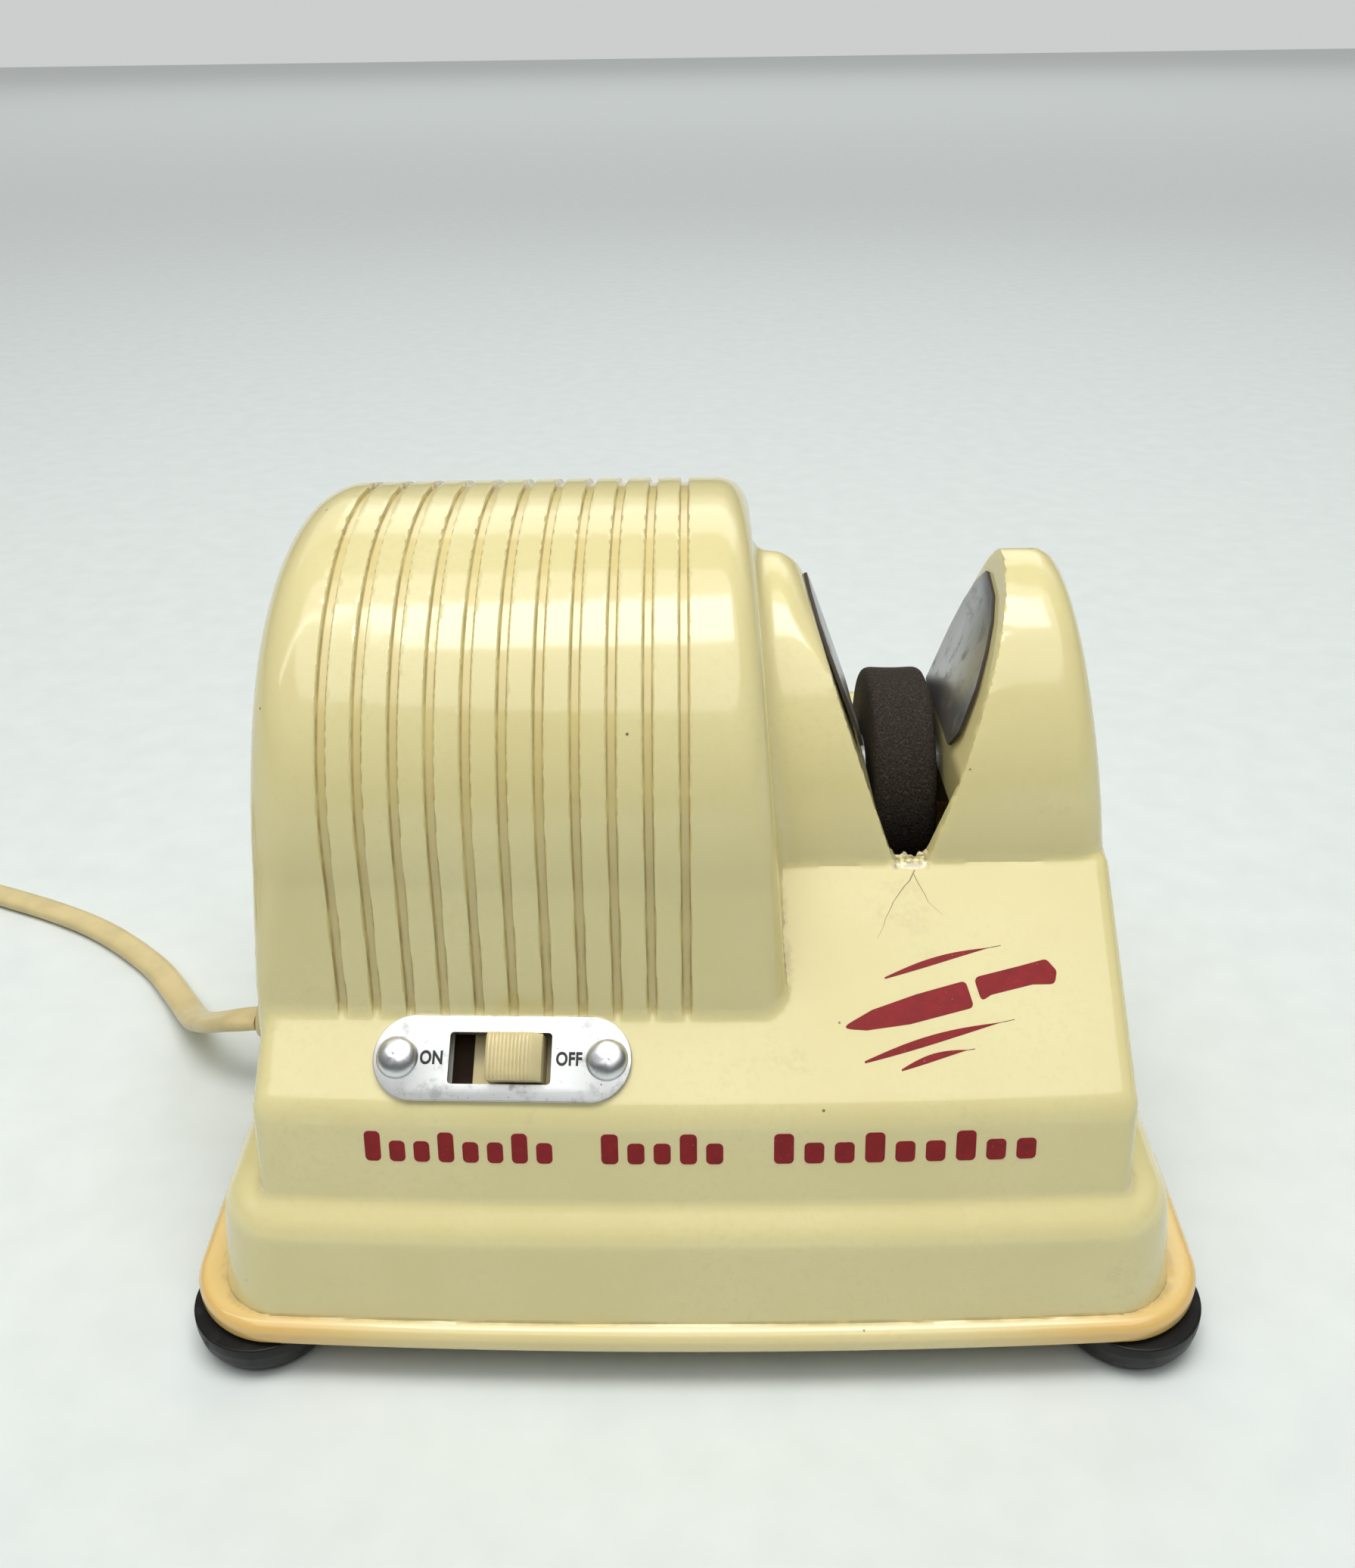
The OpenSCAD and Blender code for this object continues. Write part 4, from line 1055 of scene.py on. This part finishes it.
def make_guides():
    """A thin steel plate on each notch face, cut round and lifted a little at its front edge."""
    for side, name in ((-1, "left"), (1, "right")):
        k = 1 / math.cos(math.atan(NOTCH_SLOPE))
        outline = rounded([(y, (z - DECK_TOP[1]) * k, r) for y, z, r in GUIDE], 1.0, 5)
        around = zip(outline, outline[1:] + outline[:1])
        if sum(a[0] * b[1] - b[0] * a[1] for a, b in around) < 0:
            outline = outline[::-1]
        v, f = slab(outline, 0.02, GUIDE_T, 0.12, 2)
        # plate axes: along the notch, up the face and out of it
        up = Vector((side * NOTCH_SLOPE, 0, 1)).normalized()
        out = Vector((-side, 0, NOTCH_SLOPE)).normalized()
        foot = Vector((NOTCH_X + side * NOTCH_FLOOR, 0, DECK_TOP[1]))
        points = []
        for y, h, t in v:
            lift = GUIDE_LIFT * max(0.0, (-y - 11.0) / 9.0) ** 2
            points.append(tuple(foot + up * h + out * (t + lift) + Vector((0, y, 0))))
        plate = new_piece(f"knife_guide_{name}", points, f, "guide_steel", slot="guide_steel",
                          replaces=[f"guide_plate_{name}"], smooth=30)
        # painted shade: the plate's edge faces are coloured near black
        plate.data.materials.append(MATERIALS["burnt_edge"])
        for face in plate.data.polygons:
            face.material_index = 0 if abs(face.normal.dot(out)) > 0.8 else 1


# ---------- switch ----------


def obround(w, h, r=None, steps=20):
    r = h / 2 if r is None else r
    out = []
    for cx, cy, a0 in ((w / 2 - r, h / 2 - r, 0), (-w / 2 + r, h / 2 - r, 90), (-w / 2 + r, -h / 2 + r, 180),
                       (w / 2 - r, -h / 2 + r, 270)):
        for k in range(steps + 1):
            a = math.radians(a0 + 90 * k / steps)
            out.append((cx + r * math.cos(a), cy + r * math.sin(a)))
    return out


def make_switch():
    place = deck_matrix()
    flat = slab(obround(PLATE[0], PLATE[1], PLATE[1] / 2 - 0.01), 0.05, PLATE[2] + 0.05, 0.16, 3)
    plate = new_piece("switch_cover", *moved(flat, place), "switch_steel", slot="guide_steel",
                      replaces=["switch_plate"], smooth=30)
    cut = slab([(x + WINDOW_X, y) for x, y in obround(WINDOW[0], WINDOW[1], 0.55, 6)], -2, 3, 0.1)
    subtract(plate, [loose_solid("cut", *moved(cut, place))])
    tidy_mesh(plate.data, 30)
    dress(plate, "switch_steel", "frame", ["switch_plate"])
    make_rivets(place)
    make_button(place)
    make_words(place)


def make_rivets(place):
    top = PLATE[2] + 0.05
    solids = []
    for side in (-1, 1):
        profile = [(0.0, top + 1.42)]
        for k in range(1, 15):
            a = math.radians(90 - 90 * k / 15 * 0.94)
            profile.append((2.85 * math.cos(a) ** 0.95, top + 0.02 + 1.40 * math.sin(a) ** 1.1))
        profile += [(2.87, top + 0.1), (2.8, top - 0.02), (1.5, top - 0.02), (1.5, -3.35), (2.3, -3.4),
                    (2.4, -3.65), (2.3, -4.1), (0.0, -4.15)]
        v, f = lathe(profile[::-1], 48, closed=False)
        rough = []
        for x, y, z in v:
            a = math.atan2(y, x)
            dent = 0.030 * math.sin(3 * a + side) * math.cos(2.3 * math.hypot(x, y) + a) if z > top else 0
            rough.append((x + side * RIVET_PITCH / 2, y, z + dent))
        solids.append(moved((rough, f), place))
    new_piece("cover_rivets", *joined(*solids), "rivet_aluminium", slot="guide_steel",
              replaces=["switch_rivets"], smooth=40)


def make_button(place):
    """The slide: a ribbed, crowned block with a bevelled end, on a plate that fills the window behind it."""
    w, h, out = BUTTON
    rings = []
    ribs, bevel = 11, 1.5
    left, right = BUTTON_X - w / 2, BUTTON_X + w / 2
    stations = [(left, 0.22), (left + 0.12, 0.05)]
    for k in range(ribs):
        span = (w - bevel - 0.35) / ribs
        x0 = left + 0.2 + span * k
        stations += [(x0, 0.17), (x0 + span * 0.28, 0.0), (x0 + span * 0.72, 0.0)]
    stations += [(right - bevel - 0.12, 0.16), (right - bevel, 0.02), (right - bevel + 0.25, 0.10),
                 (right - 0.3, 1.05), (right - 0.08, 1.3), (right, 1.7)]
    for x, sink in stations:
        shrink = 0.12 if x in (left, right) else 0.0
        ring = []
        half = h / 2 - shrink
        for k in range(17):
            y = half - 2 * half * k / 16
            crown = math.sqrt(12 ** 2 - y * y) - 12
            corner = 0.35 * (abs(y) / half) ** 14
            ring.append((x, y, out + crown - sink - corner))
        ring += [(x, -half, out - 2.2), (x, -half, -3.75), (x, half, -3.75), (x, half, out - 2.2)]
        rings.append(ring)
    top = tube_of_rings(rings)
    base = slab([(BUTTON_X + x, y) for x, y in oblong(6.5, 4.4)], -8.1, -3.7, 0.25)
    v, f = joined(moved(top, place), moved(base, place))
    new_piece("slide_button", v, f, "button_plastic", body="slider", slot="cream_plastic",
              replaces=["switch_button"], smooth=28)


WORDS = (("ON", -9.6), ("OFF", 9.15))
WORD_SIZE, WORD_WIDTH = 2.45, 0.80


def make_words(place):
    """The plain control marks beside the window."""
    for text, x in WORDS:
        curve = bpy.data.curves.new(f"mark_{text.lower()}", "FONT")
        curve.body = text
        curve.size = WORD_SIZE
        curve.align_x, curve.align_y = "CENTER", "CENTER"
        curve.extrude = 0.02
        curve.offset = 0.085
        curve.space_character = 1.06
        word = in_scene(f"mark_{text.lower()}", curve)
        graph = bpy.context.evaluated_depsgraph_get()
        graph.update()
        mesh = bpy.data.meshes.new_from_object(word.evaluated_get(graph))
        bpy.data.objects.remove(word)
        word = in_scene(f"mark_{text.lower()}", mesh)
        narrow = Matrix.Diagonal((WORD_WIDTH, 1.0, 1.0, 1.0))
        mesh.transform(Matrix.Scale(MM, 4) @ place @ Matrix.Translation((x, -0.1, PLATE[2] + 0.07)) @ narrow)
        tidy_mesh(mesh, 30)
        dress(word, "black_ink", "frame", [])


# ---------- red marks: plain shapes where the printing is ----------


def on_strip(x, z, lift):
    (y0, z0), (y1, z1) = STRIP
    return (x, -(y0 + (y1 - y0) * (z - z0) / (z1 - z0)) + x * x / (2 * BOW) - lift, z)


def on_deck(x, s, lift):
    y = -STRIP[1][0] + x * x / (2 * BOW)
    return (x, y + s * math.cos(DECK_TILT) - lift * math.sin(DECK_TILT),
            STRIP[1][1] + s * math.sin(DECK_TILT) + lift * math.cos(DECK_TILT))


def printed(outline, onto, thick=0.05, taper=0.03):
    """A thin raised patch of paint that follows the surface under it."""
    low = [onto(x, y, -0.02) for x, y in outline]
    high = [onto(x, y, thick) for x, y in inset(outline, taper)]
    return tube_of_rings([low, high])


def bar(x, y, w, h, r):
    corner = min(r, w / 2 - 0.01, h / 2 - 0.01)
    return [(x + px, y + py) for px, py in obround(w, h, corner, 5)]


# each row's ends and its number of blocks
BAND_ROWS = ((-45.2, -18.5, 8), (-13.1, 4.6, 5), (10.1, 46.9, 9))
BAND_FOOT, BLOCK_TALL, BLOCK_LOW, BLOCK_SHARE = 33.6, 4.6, 3.2, 0.66


def make_band_marks():
    """Three rows of plain rounded blocks along the strip."""
    solids = []
    for start, end, count in BAND_ROWS:
        pitch = (end - start) / count
        for i in range(count):
            x = start + pitch * (i + 0.5)
            height = BLOCK_LOW if i % 3 else BLOCK_TALL
            mark = bar(x, BAND_FOOT + height / 2, pitch * BLOCK_SHARE, height, 0.7)
            solids.append(printed(mark, on_strip))
    new_piece("band_marks", *joined(*solids), "red_paint", slot="cream_plastic", smooth=40)


MARK_AT, MARK_TILT = (35.0, 15.6), math.radians(14)
# each stroke: its ends, its height and half its thickness
STROKES = ((-13.5, 8.0, -5.6, 0.62), (-9.0, 1.5, -7.9, 0.5), (-7.5, 9.5, 4.6, 0.5))


def make_knife_mark():
    """A slanted knife among three speed lines, brushed in red on the deck."""
    (cx, cy), cos, sin = MARK_AT, math.cos(MARK_TILT), math.sin(MARK_TILT)

    def turn(points):
        return [(cx + x * cos - y * sin, cy + x * sin + y * cos) for x, y in points]

    blade = [(-15.5, -0.4), (-12.0, -1.6), (-6.0, -2.35), (3.2, -2.5), (3.2, 1.35), (-4.0, 1.35),
             (-10.5, 0.9)]
    handle = [(4.4, -2.0), (6.0, -1.5), (12.0, -1.7), (15.0, -2.5), (15.9, -0.8), (15.0, 1.2), (11.0, 1.25),
              (4.4, 1.45)]
    solids = [printed(turn(rounded(blade, 0.8, 6)), on_deck), printed(turn(rounded(handle, 0.9, 6)), on_deck)]
    for x0, x1, y, fat in STROKES:
        line = []
        for side, ends in ((-1, (0, 1)), (1, (1, 0))):
            for t in np.linspace(*ends, 16):
                swell = side * fat * math.sin(math.pi * min(1, 0.08 + t))
                line.append((x0 + (x1 - x0) * t, y + 0.5 * math.sin(3.0 * t) + swell))
        solids.append(printed(turn(line), on_deck))
    new_piece("deck_mark", *joined(*solids), "red_paint", slot="cream_plastic", smooth=40)


CRACKS = (
    (0.085, [(31.8, 33.6), (31.0, 32.1), (30.3, 31.4), (29.5, 30.4), (28.4, 28.9), (28.1, 28.2), (27.2, 26.6),
             (26.9, 25.6), (25.9, 23.8)]),
    (0.055, [(31.6, 33.0), (32.2, 31.6), (33.0, 30.0), (33.4, 28.9), (34.4, 27.9), (35.4, 26.9)]),
)


def make_crack():
    """A hairline crack that runs down the deck from the foot of the notch, with a short branch."""
    solids = []
    for wide, line in CRACKS:
        count = len(line) - 1
        half = [wide * (1 - 0.8 * k / count) for k in range(count + 1)]
        left = [(x - w, s) for (x, s), w in zip(line, half)]
        right = [(x + w, s) for (x, s), w in zip(line, half)]
        solids.append(printed(left + right[::-1], on_deck, 0.012, 0.0))
    new_piece("hairline_crack", *joined(*solids), "old_dirt", slot="cream_plastic", smooth=40)


# ---------- the CAD's own pieces ----------


EDGE, EDGE_ANGLE = 0.15, 40


def dress_frame():
    """Materials by slot for the CAD nodes that still show, with their hard edges eased."""
    slots = {s["node"]: s["material_slot"] for s in frame["record"]["subparts"]}
    for name, node in nodes.items():
        node.data.materials.clear()
        node.data.materials.append(MATERIALS[slots[name]])
        if node.hide_render:
            continue
        ease = node.modifiers.new("ease", "BEVEL")
        ease.width = EDGE * MM
        ease.segments = 2
        ease.limit_method = "ANGLE"
        ease.angle_limit = math.radians(EDGE_ANGLE)
        ease.harden_normals = False


# ---------- build ----------

make_camera()
make_materials()
make_cord()
make_stage()
make_housing()
make_feet()
make_wheel()
make_guides()
make_switch()
make_band_marks()
make_knife_mark()
make_crack()
dress_frame()
